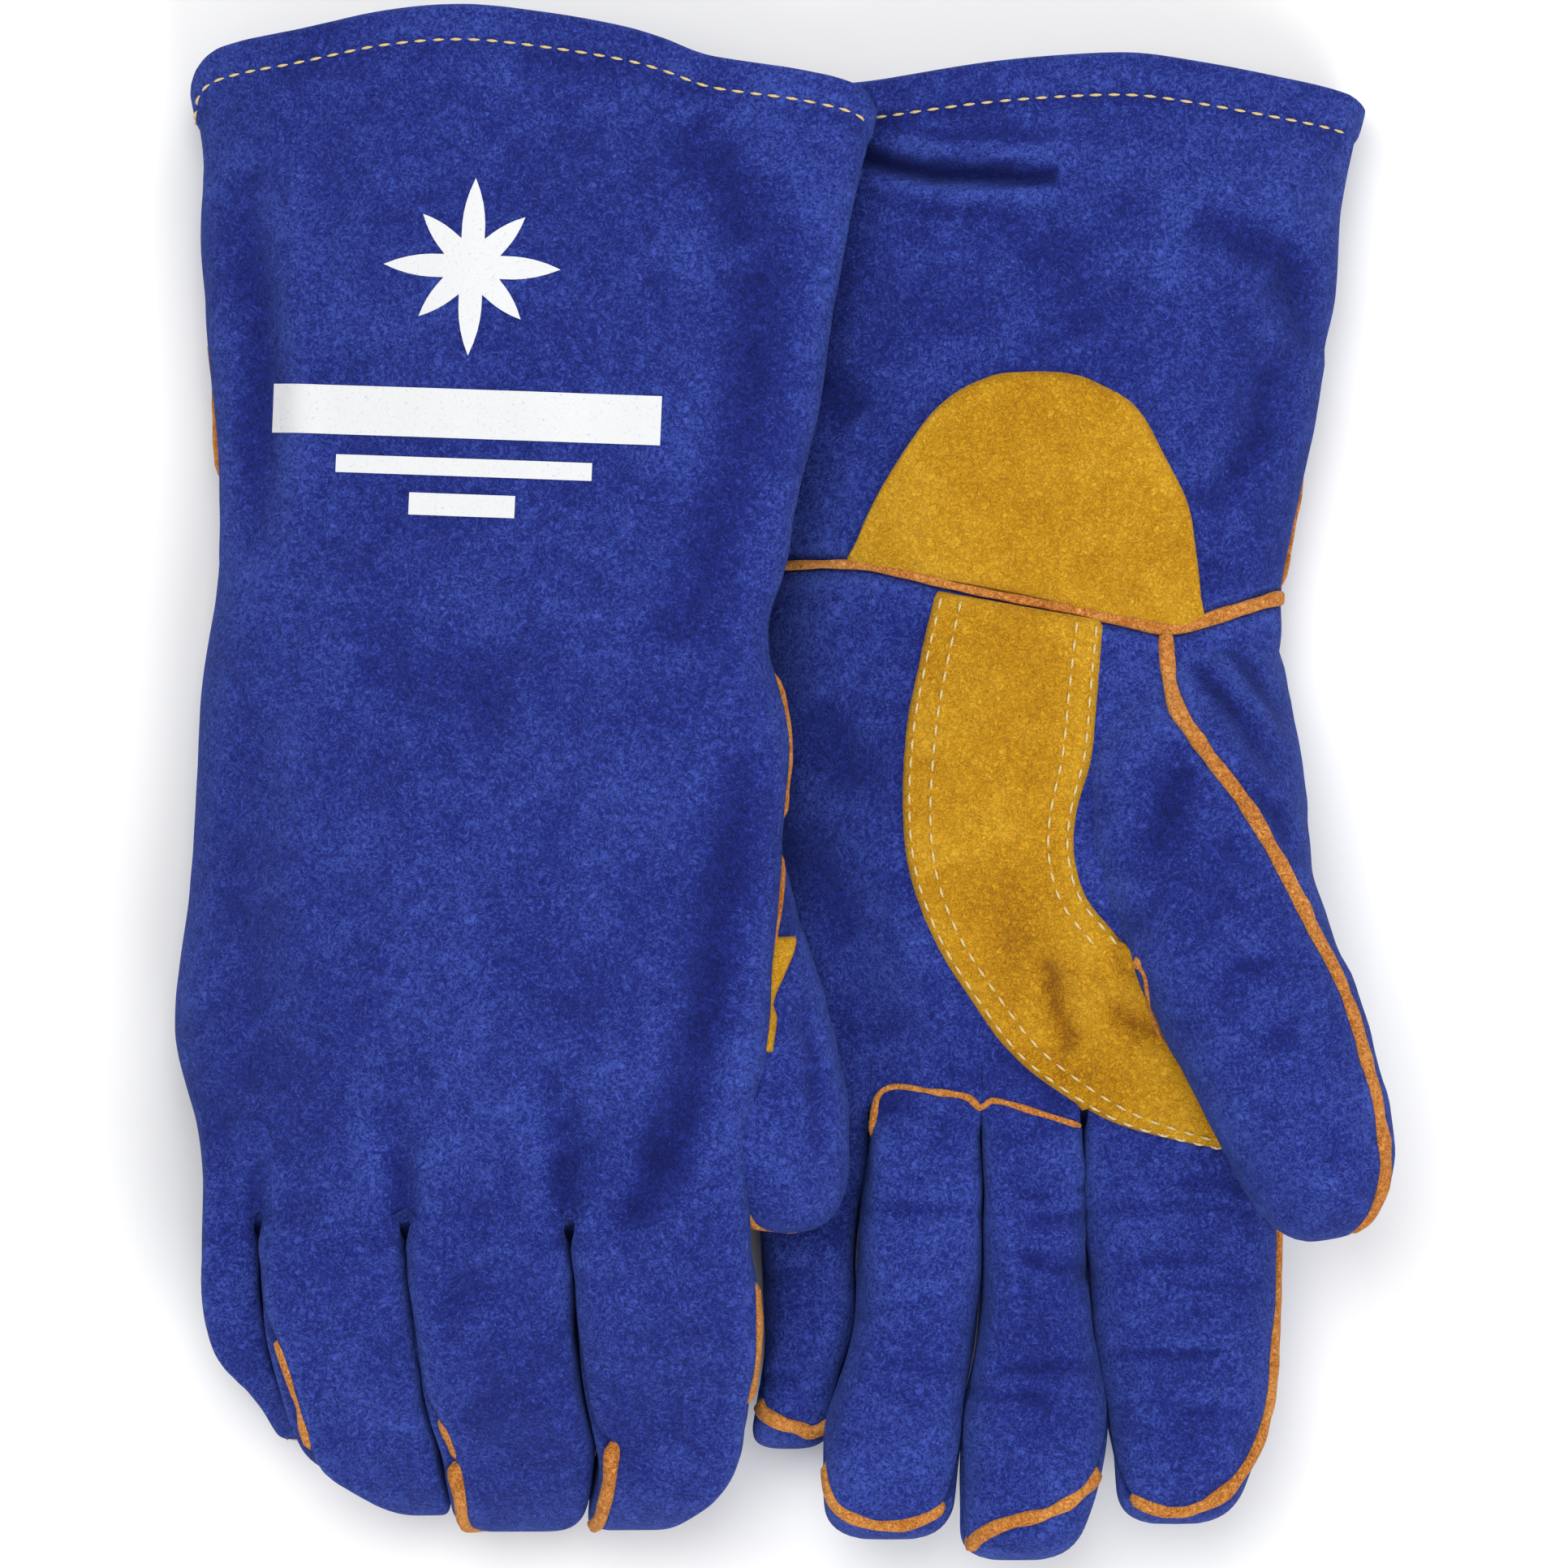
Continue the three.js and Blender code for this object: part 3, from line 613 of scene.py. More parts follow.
RIGHT = dict(
    side="right", up="back", knuckle=-104.2,
    welt_shows=dict(little_side_welt=[(70, 102, 1)], thumb_side_welt=[(-60, -15, 1), (-8, 24, 1)]),
    wrist_welt_width=curve((-130, 3.0), (0, 3.0)),
    hem=curve((-1, 157), (-0.97, 163), (-0.9, 167), (-0.66, 170.4), (-0.425, 173.9), (-0.19, 175.2),
              (0.045, 173.3), (0.28, 170), (0.4, 167.2), (0.515, 163.6), (0.634, 161.8), (0.82, 159.5),
              (0.96, 156.5), (1, 152.5)),
    wrist=curve((-1, 43), (-0.5, 41), (0, 42), (0.5, 44), (1, 46)),
    low=curve((-104, -131.3), (-90, -132.2), (-78, -134.1), (-67, -136.3), (-56, -137.6), (-23, -135.8),
              (-1, -133.8), (21, -131.4), (43, -129.2), (76, -128.6), (109, -130.8), (122, -132.3),
              (142, -132.1), (158, -135.4)),
    high=curve((-104, -7.3), (-91, -7.6), (-72.8, -5.9), (-61, -3.8), (-42.8, -2.9), (-21.6, -0.9),
               (-4.8, 0.1), (6.6, 0.9), (14, 0.4), (23, -1.3), (29.6, -2.9), (37.3, -2.4), (48.7, 1.5),
               (60.6, 3.1), (80.2, 6.4), (97.7, 8.6), (115.3, 11.9), (128.5, 14.1), (146, 18.5),
               (152.6, 20.1)),
    top=curve((-104, 44), (-50, 44), (0, 41), (43, 37), (75, 37), (110, 37), (175, 33)),
    under=curve((-104, 9), (-50, 6), (0, 4), (43, 2), (90, -1.5), (175, -1.5)),
    edge_low=curve((-104, 26), (-50, 20), (43, 16), (175, 15)),
    edge_high=curve((-104, 24), (-50, 22), (43, 17), (175, 16)),
    lift=curve((-104, 20), (-50, 29), (43, 26), (175, 25)),
    crown=(2.4, 2.6),
    folds=dict(
        top=[([(-122, 140), (-118, 92), (-120, 50)], 5.5, 2.2), ([(-2, 138), (-8, 80), (-22, 30)], 9, 2.2),
             ([(-8, 10), (-16, -46), (-23, -73), (-32, -96), (-44, -110)], 7, 2.3),
             ([(-120, 20), (-122, -30), (-118, -70)], 8, 1.2),
             ([(-52, -62), (-44, -96)], 6, 1.2), ([(-88, -70), (-84, -100)], 5, 1.0),
             ([(-20, 150), (-10, 120)], 8, 1.6), ([(-96, 30), (-60, 22)], 12, 0.8),
             ([(-119, -84), (-118, -122)], 3.0, 1.1), ([(-86, -82), (-84.5, -124)], 3.4, 1.1),
             ([(-49.5, -82), (-47.5, -124)], 4.0, 1.5)],
        bottom=[([(-110, 60), (-60, 20)], 10, 1.0)],
    ),
    fingers=dict(
        little=dict(z=[26, 24, 20.5, 15.5, 10.5], h=[13, 13, 12.3, 11, 9.6], tip=-148.6,
                    plan=[(-104.2, -131.3, -118.2), (-113, -131.8, -117.6), (-124, -129.4, -115.6),
                          (-135, -121.5, -112.4), (-148, -115.5, -107)]),
        ring=dict(z=[33, 30.5, 25.5, 19.5, 11.5], h=[15.5, 15.3, 14.8, 13.6, 11.4], tip=-165,
                  plan=[(-104.2, -118.2, -84.8), (-118, -117, -83.2), (-134, -112.6, -81.2),
                        (-149, -106.8, -77.0), (-164, -85, -74.6)]),
        middle=dict(z=[38.5, 35, 29, 21, 11.5], h=[16, 15.8, 15.2, 14, 11.4], tip=-168.8,
                    plan=[(-104.2, -84.8, -47.8), (-118, -83.2, -46.6), (-134, -81.2, -45.4),
                          (-150, -77.0, -42.2), (-168, -73.2, -46)]),
        index=dict(z=[43.5, 39, 31.5, 23.5, 12.5], h=[16, 15.9, 15.4, 14.2, 11.6], tip=-167,
                   plan=[(-104.2, -47.8, -7.3), (-118, -46.6, -5.8), (-134, -45.4, -7.6),
                         (-152, -42.4, -12), (-167, -45.4, -30)]),
    ),
)
SQUARING = 45.0  # over this length before the knuckles, the hand's section takes the fingers' outline
MORPH = 8.0  # over this length before the knuckles, the creases between the fingers deepen
GATHER = 30.0  # over this length before that, its points gather where the creases will start
UNDER_CROWN = 3.2  # how boxy the hand's lower face is
ROOT_CROWN = 6.5  # how boxy a finger's section is where it joins the hand
FINGER_GAP = 0.07  # half the gap between two fingers
INSET_SPAN = 70.0  # a finger's length as its lining's end is worked out
TIP_REACH = 17.0  # how far back from its tip a finger rounds off seen from the side
TIP_WIDE, TIP_TALL = 2.8, 2.3  # how square a tip is seen from above and from the side
for glove, crown, tip_reach in ((LEFT, 3.0, 8.0), (RIGHT, 7.0, 7.0)):
    for finger in glove["fingers"].values():
        finger["crown"], finger["tip_reach"] = crown, tip_reach
# Height of a finger's two seams round its section, by place along it, and where its welt stands out:
# side, start, end and share. A left finger's front stops short of its tip, and its back comes over.
OVER_TIP = ((0, 0), (0.3, 0.05), (0.6, 0.12), (0.85, 0.25), (0.93, 0.6), (0.965, 1.1), (0.98, math.pi / 2))
LOW_SEAM = ((0, 0), (1, 0))
SEAMS = {
    "left_little": (((0, 0), (0.6, 0.15), (0.84, 0.7), (0.92, 1.5), (0.955, 2.0)),
                    ((0, 0), (0.6, 0.1), (0.86, 0.3), (0.93, 0.7), (0.955, math.pi - 2.0)),
                    ((0, 0.82, 1, 1), (1, 0.9, 1, 1))),
    "left_ring": (OVER_TIP, OVER_TIP, ((0, 0.84, 1, 1), (1, 0.93, 1, 1))),
    "left_middle": (((0, 0), (0.6, 0.1), (0.9, 0.2), (0.98, 0.3)),
                    ((0, 0), (0.6, 0.12), (0.83, 0.4), (0.9, 1.0), (0.95, 1.9), (0.98, math.pi - 0.3)),
                    ((0, 0.96, 1, 1), (1, 0.83, 1, 1))),
    "left_index": (OVER_TIP, ((0, 0), (0.15, 0.1), (0.6, 0.25), (0.8, 0.4), (0.9, 0.7), (0.96, 1.2),
                              (0.98, math.pi / 2)),
                   ((0, 0.94, 1, 1), (1, 0.12, 1, 1))),
    "right_little": (LOW_SEAM, LOW_SEAM, ()),
    "right_ring": (((0, 0), (0.2, 0.2), (0.32, 0.8), (0.66, 0.85), (0.8, 0.3), (1, 0)), LOW_SEAM,
                   ((0, 0.3, 0.67, 0.62),)),
    "right_middle": (((0, 0), (0.45, 0.3), (0.58, 0.85), (0.92, 0.85), (1, 0)), LOW_SEAM,
                     ((0, 0.54, 0.68, 0.4), (0, 0.72, 0.95, 1.1))),
    "right_index": (((0, 0), (0.5, 0.3), (0.585, 0.5), (0.615, 1.1), (0.7, 1.05), (0.8, 0.88), (0.93, 0.8),
                     (1, 0)),
                    ((0, 0.05), (0.1, 0.16), (0.5, 0.16), (0.7, 0), (1, 0)),
                    ((0, 0.635, 0.96, 0.9), (1, 0.06, 0.5, 1))),
}
FINGER_COLUMNS = {"little": 30, "ring": 36, "middle": 38, "index": 42}
FINGER_ROWS = 62
WELT_POINTS = 130
WELT_SUNK = 4.2, 0.5  # how deep a finger's welt lies where it is hidden and where it shows
SIDE_WELT_SUNK = 3.4, 0.7
FINGER_WRINKLES = (0.14, 0.22, 0.36, 0.43, 0.62, 0.72)  # about where each lies along the finger
DIGIT_LINING_COLUMNS = 12
FINGERS = ("little", "ring", "middle", "index")


def finger_at(finger, u, inset=0.0):
    """Centre, sideways and upward directions, half width, half height and boxiness at u from 0 to 1."""
    plan = np.array(finger["plan"], float)
    plan[-1, 0] = finger["tip"]
    along, low, high = (stretched(column) for column in plan.T)
    height, half = stretched(finger["z"]), stretched(finger["h"])

    def centre(v):
        return np.array([(low(v) + high(v)) / 2, along(v), height(v)])

    end = 1 - inset / INSET_SPAN
    v = u * end
    forward = unit(centre(min(v + 0.01, 1)) - centre(max(min(v, 0.99) - 0.01, 0)))
    forward = unit(mix(np.array([0.0, -1.0, 0.0]), forward, ease(v, 0, 0.3)) * (0, 1, 1))
    sideways = towards(unit(np.cross(forward, [0, 0, -1.0])), 0)
    upward = towards(unit(np.cross(sideways, forward)), 2)
    length = abs(finger["tip"] - finger["plan"][0][0])
    reaches = finger["tip_reach"], TIP_REACH
    past_wide, past_tall = (max(1 - (end - v) * length / reach, 0.0) for reach in reaches)
    wide = max((high(v) - low(v)) / 2 - FINGER_GAP - inset, 0.5) * float(bulge(past_wide, TIP_WIDE))
    tall = max(half(v) - inset, 0.5) * float(bulge(past_tall, TIP_TALL))
    crown = mix(ROOT_CROWN, finger["crown"], float(ease(v, 0.0, 0.42)))
    return centre(v), sideways, upward, wide, tall, crown


def finger_arc(finger, u, start, stop, count, inset=0.0):
    """count + 1 even points of a finger's section, from one angle to another."""
    centre, sideways, upward, wide, tall, crown = finger_at(finger, u, inset)
    angles = np.linspace(start, stop, ARC_POINTS)
    x, z = rounded(np.cos(angles), 2 / crown) * wide, rounded(np.sin(angles), 2 / crown) * tall
    return resample(centre + x[:, None] * sideways + z[:, None] * upward, count)


def hand_section(glove, y_of, face, inset):
    """A dense line across one face of the hand or cuff; y_of gives y from the place across."""
    s = -np.cos(np.linspace(0, math.pi, 260))
    y, share = y_of(s), (s + 1) / 2
    x = mix(glove["low"](y) + inset, glove["high"](y) - inset, share)
    edge = mix(glove["edge_low"](y), glove["edge_high"](y), share)
    lift = glove["lift"](y) * share**1.5
    if face > 0:
        crown = mix(*glove["crown"], ease(s, -0.6, 0.6))
        z = edge + (glove["top"](y) - inset - edge) * bulge(s, crown) + lift
    else:
        z = edge + (glove["under"](y) + inset - edge) * bulge(s, UNDER_CROWN) + lift
        z = np.maximum(z, inset)
    return np.stack([x, y, z], axis=1)


def hand_grid(glove, face, inset=0.0):
    """Rows from the hem to the knuckles, with the wrist seam at CUFF_ROWS, and columns across."""
    fingers = [glove["fingers"][f] for f in FINGERS]
    counts = [FINGER_COLUMNS[f] for f in FINGERS]
    lobes, creases, index = [], [], 0
    for finger, count in zip(fingers, counts):
        arc = finger_arc(finger, 0.0, face * math.pi, 0.0, count, inset)
        lobes.append(arc if not lobes else arc[1:])
        index += count
        creases.append((index, finger["plan"][0][2]))
    lobes = np.concatenate(lobes)
    middles = np.cumsum(counts) - np.array(counts) // 2
    filled = lobes[:, 2].copy()
    between = slice(middles[0], middles[-1] + 1)
    filled[between] = np.interp(lobes[between, 0], lobes[middles, 0], lobes[middles, 2])
    creases = creases[:-1]
    columns = sum(counts)
    hand_rows = int(-glove["knuckle"] / HAND_STEP)
    low, high = glove["low"](glove["knuckle"]), glove["high"](glove["knuckle"])
    stops = [(x - low) / (high - low) for _, x in creases]

    order = np.arange(columns + 1)
    gathers = (ease(order, counts[0] * 0.2, counts[0] * 0.5)
               * (1 - ease(order, columns - counts[-1] * 0.5, columns - counts[-1] * 0.2)))
    rows = []
    for r in range(CUFF_ROWS + hand_rows + 1):
        def y_of(s):
            if r <= CUFF_ROWS:
                return mix(glove["hem"](s) - HEM_RADIUS, glove["wrist"](s), r / CUFF_ROWS)
            return mix(glove["wrist"](s), glove["knuckle"], (r - CUFF_ROWS) / hand_rows)

        line = hand_section(glove, y_of, face, inset)
        held = [(i, mix(line[0, 0], line[-1, 0], f)) for (i, _), f in zip(creases, stops)]
        row = resample(line, columns, held)
        below = glove["knuckle"] - row[:, 1]
        share = gathers * ease(below, -MORPH - GATHER, -MORPH)
        x = mix(row[:, 0], lobes[:, 0], share)
        y, z = (np.interp(x, line[:, 0], column) for column in line.T[1:])
        on_line = np.stack([x, y, z], 1)
        row = mix(row, on_line, gathers[:, None])
        fingered = np.stack([lobes[:, 0], row[:, 1], filled], 1)
        row = mix(row, fingered, ease(below, -SQUARING, 0)[:, None])
        row[:, 2] = mix(row[:, 2], lobes[:, 2], ease(below, -MORPH, 0))
        rows.append(row)
    return np.array(rows)


def folds_of(glove, face):
    return glove["folds"]["top" if face > 0 else "bottom"]


def hand_relief(glove, grid, face):
    """The leather's own unevenness on one face: dents, waves and the folds named above."""
    near_floor = ease(grid[..., 2], 0.5, 6.0) if face < 0 else 1.0
    seed = 1 if glove["side"] == "left" else 20
    relief = rippled(grid, seed, (1.5, 70), (0.4, 30), (0.07, 9))
    from_hem = edge_distance(grid, ("top",))
    doubled = HEM_PUFF * (1 - ease(from_hem, HEM_STITCH - 1.0, HEM_STITCH + 2.5))
    pulled = -HEM_STITCH_PULL * np.exp(-(((from_hem - HEM_STITCH) / 1.0) ** 2))
    from_knuckles = edge_distance(grid, ("bottom",))
    relief = relief * ease(from_knuckles, 0.0, 28.0) + 1.35 * folded(grid, folds_of(glove, face)) * ease(
        from_knuckles, 0.0, 10.0)
    return relief * near_floor + doubled + pulled


def raised_grid(grid, face, relief):
    return off_floor(grid + grid_normals(grid, face) * relief[..., None])


def shown_along(places, spans, before, after):
    """How far something stands out along a line, from (start, end, share) spans with soft ends."""
    total = np.zeros(len(places))
    for start, end, share in spans:
        rise, fall = ease(places, start - before, start + before), ease(places, *(np.array(after) + end))
        total = total + share * rise * (1 - fall)
    return total


def build_hand(glove):
    side = glove["side"]
    back_face = -1 if glove["up"] == "palm" else 1
    made, outer, inner, hem = {}, {}, {}, {}
    for face in (1, -1):
        base = hand_grid(glove, face)
        relief = hand_relief(glove, base, face)
        outer[face] = (base, relief)
        for store, inset in ((inner, LINING_INSET), (hem, HEM_INSET)):
            turned = hand_grid(glove, face, inset)
            store[face] = turned + grid_normals(base, face) * (relief * 0.9)[..., None]

    # Leather panels
    for name, face, rows, sides in (
        ("back_panel", back_face, slice(None), ("left", "right")),
        ("cuff_palm_panel", -back_face, slice(0, CUFF_ROWS + 1), ("left", "right", "bottom")),
        ("palm_panel", -back_face, slice(CUFF_ROWS, None), ("left", "right", "top")),
    ):
        base, relief = (values[rows] for values in outer[face])
        from_seam = edge_distance(base, sides)
        grid = raised_grid(base, face, relief + seam_roll(from_seam))
        # painted shade in valleys, folds and along the seams, painted highlight on ridges; on the back panel
        # it fades near the knuckles
        painted_shading = shade(grid, face, from_seam, folds_of(glove, face))
        if name == "back_panel":
            painted_shading = painted_shading * mix(0.35, 1.0, ease(edge_distance(base, ("bottom",)), 4.0, 16.0))
        made[name] = grid_object(f"{side}_{name}", grid, BLUE, face > 0, painted_shading)

    # Turned hem: over the edge and down inside
    parts = []
    for face, (base, relief) in outer.items():
        skin = raised_grid(base, face, relief + seam_roll(edge_distance(base, ("left", "right"))))
        turned_in, depth = hem[face], int(HEM_DEPTH / HEM_ROW)
        out = unit(skin[0] - skin[2])
        rows = [mix(skin[0], turned_in[0], (1 - math.cos(angle)) / 2) + out * HEM_RADIUS * math.sin(angle)
                for angle in np.linspace(0, math.pi, 9)]
        rows += [turned_in[r] for r in range(1, depth)]
        rows.append(mix(turned_in[depth - 1], inner[face][depth - 1], 0.9)
                    + (turned_in[depth] - turned_in[depth - 1]) * 0.3)
        parts.append(sheet(np.array(rows), face < 0))
    made["hem"] = join(f"{side}_cuff_hem", parts, BLUE)

    # Linings
    for name, rows, every, material in (("cuff_lining", slice(5, CUFF_ROWS), 1, CANVAS),
                                        ("hand_lining", slice(CUFF_ROWS - 1, -LINING_STOP), 3, FLEECE)):
        parts = [sheet(inner[face][rows][::every, ::2], face < 0) for face in outer]
        made[name] = join(f"{side}_{name}", parts, material)

    # Welts
    base, relief = outer[-back_face]
    up = grid_normals(base, -back_face)[CUFF_ROWS]
    seam = base[CUFF_ROWS] + up * (relief[CUFF_ROWS] - 0.3)[:, None]
    trim = slice(1, -1) if side == "left" else slice(7, -7)
    width = glove["wrist_welt_width"](seam[trim][:, 0])
    points, faces = swept(seam[trim], up[trim], width, 2.9, 12, 0.12, 3)
    made["wrist_welt"] = mesh_object(f"{side}_wrist_welt", points, faces, TAN)
    base = outer[1][0]
    for name, column, outward in (("little_side_welt", 0, -1), ("thumb_side_welt", -1, 1)):
        stop = CUFF_ROWS if name == "thumb_side_welt" and side == "left" else len(base) - 4
        line = base[2:stop, column]
        ups = np.tile([outward * 1.0, 0, 0.12], (len(line), 1))
        shown = shown_along(line[:, 1], glove["welt_shows"][name], 3, (-3, 3))
        line = line - ups * mix(*SIDE_WELT_SUNK, shown)[:, None]
        points, faces = swept(line, ups, 2.2, 3.4, 10, 0.15, 5)
        made[name] = mesh_object(f"{side}_{name}", points, faces, TAN)

    for piece in made.values():
        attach(piece, f"{side}_hand")
        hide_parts(piece.name.removesuffix("_sewn"))
    return made, outer


def finger_stations(upper, last_seam):
    """Places along a finger, closer towards the tip; the upper piece ends where its seams meet."""
    u = 1 - (1 - np.linspace(0, 1, FINGER_ROWS)) ** 1.35
    return u * last_seam if upper else u


def finger_grid(finger, u, upper, lower_seam, upper_seam, count, inset=0.0):
    """Rows along a finger, columns from its low-X seam to its high-X seam, over the top or underneath."""
    start = math.pi if upper else -math.pi
    return np.array([finger_arc(finger, v, start - lower_seam(v), upper_seam(v), count, inset) for v in u])


def finger_relief(grid, u, palm, seed):
    """Wrinkles across the joints, deeper on the palm's side, and the leather's unevenness."""
    rng = np.random.default_rng(RNG_SEED + seed)
    relief = 0.7 * ripples(grid, 34, seed) + 0.25 * ripples(grid, 13, seed + 1)
    across = np.linspace(-1, 1, grid.shape[1])[None, :]
    for place in FINGER_WRINKLES:
        place, tilt, bow = (at + rng.uniform(-off, off) for at, off in ((place, 0.03), (0, 0.05), (0, 0.04)))
        width, middle, reach = rng.uniform(0.012, 0.03), rng.uniform(-0.5, 0.5), rng.uniform(0.35, 0.8)
        depth = rng.uniform(0.25, 1.0) * (1.0 if palm else 0.15)
        line = place + tilt * across + bow * across**2
        fade = np.exp(-(((across - middle) / reach) ** 4))
        relief = relief - depth * np.exp(-(((u[:, None] - line) / width) ** 2)) * fade
    start = ease(u, 0.0, 0.10)[:, None]
    end = 1 - ease(u, 0.93, 1.0)[:, None]
    return relief * start * end


def build_finger(glove, name, seed):
    side, finger = glove["side"], glove["fingers"][name]
    palm_up = glove["up"] == "palm"
    *knots, shows = SEAMS[f"{side}_{name}"]
    seams, last_seam = [curve(*seam) for seam in knots], knots[0][-1][0]
    made = {}
    for upper in (True, False):
        u = finger_stations(upper, last_seam)
        grid = finger_grid(finger, u, upper, *seams, FINGER_COLUMNS[name])
        palm, face = upper == palm_up, 1 if upper else -1
        relief = finger_relief(grid, u, palm, seed)
        edge = edge_distance(grid, ("left", "right"))
        at_tip = 1.0
        if last_seam == 1:
            at_tip = (1 - ease(u, 0.96, 1.0))[:, None]
        elif not upper:
            at_tip = np.where(u <= last_seam, 1.0, 0.0)[:, None]
        radius, depth = (2.6, 1.6) if palm_up or not upper else (5.0, 2.2)
        roll = seam_roll(edge, radius, depth) * ease(u, 0.02, 0.3)[:, None] * at_tip
        moved = raised_grid(grid, face, relief + roll)
        # painted shade in wrinkles and along the seams, painted highlight on ridges
        painted_shading = shade(moved, face, edge + PAST_SEAM * (1 - at_tip))
        key = "front" if palm else "back"
        made[key] = grid_object(f"{side}_{name}_{key}", moved, BLUE, upper, painted_shading)
        if upper:
            stations, edges = u, (grid[:, 0], grid[:, -1])

    # The welt runs up one seam of the upper piece and down the other
    centres = np.array([finger_at(finger, v)[0] for v in stations])
    rows = slice(5, len(stations) - (1 if last_seam < 1 else 2))
    path, outward, shown = [], [], []
    for end, order in ((0, 1), (1, -1)):
        line = edges[end][rows]
        spans = [span[1:] for span in shows if span[0] == end]
        path.append(line[::order])
        outward.append(unit(line - centres[rows])[::order])
        shown.append(shown_along(stations[rows], spans, 0.02, (0, 0.03))[::order])
    path, outward, shown = np.concatenate(path), np.concatenate(outward), np.concatenate(shown)
    lengths = lengths_along(path)
    at = np.linspace(0, lengths[-1], WELT_POINTS)
    path, outward = read_at(at, lengths, path), read_at(at, lengths, outward)
    shown = np.interp(at, lengths, shown)
    path = path - outward * mix(*WELT_SUNK, shown)[:, None]
    points, faces = swept(path, outward, mix(2.4, 3.1, shown), 3.2, 10, 0.15, seed)
    made["welt"] = mesh_object(f"{side}_{name}_welt", off_floor(points), faces, TAN)

    flat, inset = curve(*LOW_SEAM), LINING_INSET + DIGIT_LINING_GAP
    parts = []
    for upper in (True, False):
        u = finger_stations(upper, 1.0)
        grid = finger_grid(finger, u, upper, flat, flat, DIGIT_LINING_COLUMNS, inset)
        parts.append(sheet(grid[::3], upper))
    made["lining"] = join(f"{side}_{name}_lining", parts, FLEECE)
    for key, piece in made.items():
        if key != "welt":
            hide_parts(f"{side}_{name}_{key}")
        bend_with_finger(piece, side)
    return made


def bend_with_finger(piece, side):
    """Bakes a piece's placement into its mesh."""
    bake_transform(piece)


# ---- Thumbs ----
LEFT_THUMB = dict(
    spine=[(87, 42, 0), (88.2, 33, 7), (90, 16, 20), (91.5, -2, 28), (95, -20, 35), (101, -38, 41),
           (109.5, -57, 45.5), (118, -80, 48), (122, -102, 46)],
    wide=[19, 22.5, 25.6, 26, 24.5, 22.8, 21.8, 18.6, 15.5],
    tall=[20, 20.5, 21, 20, 18.5, 17, 16.5, 15.5, 13.5], roll=0,
    seam=[90, 94, 92, 77, 57, 40, 33, 33, 30], reach=20,
    wrinkles=[(0.54, 0.03, 0.7), (0.68, 0.035, 0.9), (0.76, 0.03, 0.5)],
    folds=[([(91, 10), (85, -6), (79, -22)], 7, 1.6), ([(93, 27), (102, 16), (112, 0)], 3.4, 1.4),
           ([(98, 33), (106, 25), (114, 12)], 2.4, 1.0), ([(100, 4), (110, -7), (116, -20)], 2.8, 1.1)],
)
RIGHT_THUMB = dict(
    spine=[(-21, 16, 31), (-16, -12, 35), (-10.5, -36, 39.5), (-4, -60, 42), (-0.5, -84, 43),
           (-3, -100.4, 43)],
    wide=[13, 14.5, 15.5, 16, 15.4, 11.5], tall=[11, 12, 12.5, 12.5, 12.5, 11], roll=-16,
    seam=[180, 180, 177, 170, 160, 150], reach=18,
    wrinkles=[(0.4, 0.03, 0.8), (0.66, 0.035, 0.9)],
    folds=[([(4, -44), (7, -66), (8, -84)], 2.5, 0.9)],
)
THUMB_ROWS, THUMB_COLUMNS = 78, 46
WELT_OVER_TIP = 26  # how many rows the welt runs back on the thumb's other side
LEFT_THUMB_EMERGES = -5.0  # the left thumb's seam runs over the palm above this Y
THUMB_FLOOR = 6.0  # a thumb's root stays above this height, inside the hand
THUMB_SQUARING, THUMB_TIP_CROWN = 0.87, 2.5  # how boxy a thumb's section is, and its tip seen from above


def thumb_arc(thumb, u, start, stop, count, inset=0.0):
    """count + 1 even points of a thumb's section between two angles, counted from its high-X side."""
    spine = np.array(thumb["spine"], float)
    place = [stretched(column) for column in spine.T]
    length = np.linalg.norm(np.diff(spine, axis=0), axis=1).sum()
    end = 1 - inset / length
    v = u * end

    def centre(t):
        return np.array([c(t) for c in place])

    forward = unit(centre(min(v + 0.01, 1)) - centre(max(min(v, 0.99) - 0.01, 0)))
    forward = unit(forward * (1, 1, ease(v, 0.2, 0.55)))
    sideways = towards(unit(np.cross(forward, [0, 0, 1.0])), 0)
    upward = towards(np.cross(sideways, forward), 2)
    roll = math.radians(thumb["roll"])
    across = math.cos(roll) * sideways + math.sin(roll) * upward
    over = math.cos(roll) * upward - math.sin(roll) * sideways
    first = 1 - thumb["reach"] / length
    close = float(bulge((v - first) / (end - first), THUMB_TIP_CROWN)) if v > first else 1.0
    wide, tall = ((stretched(thumb[size])(v) - inset) * close for size in ("wide", "tall"))
    angles = np.linspace(start, stop, ARC_POINTS)
    x = rounded(np.cos(angles), THUMB_SQUARING) * wide
    z = rounded(np.sin(angles), THUMB_SQUARING) * tall
    return resample(centre(v) + x[:, None] * across + z[:, None] * over, count)


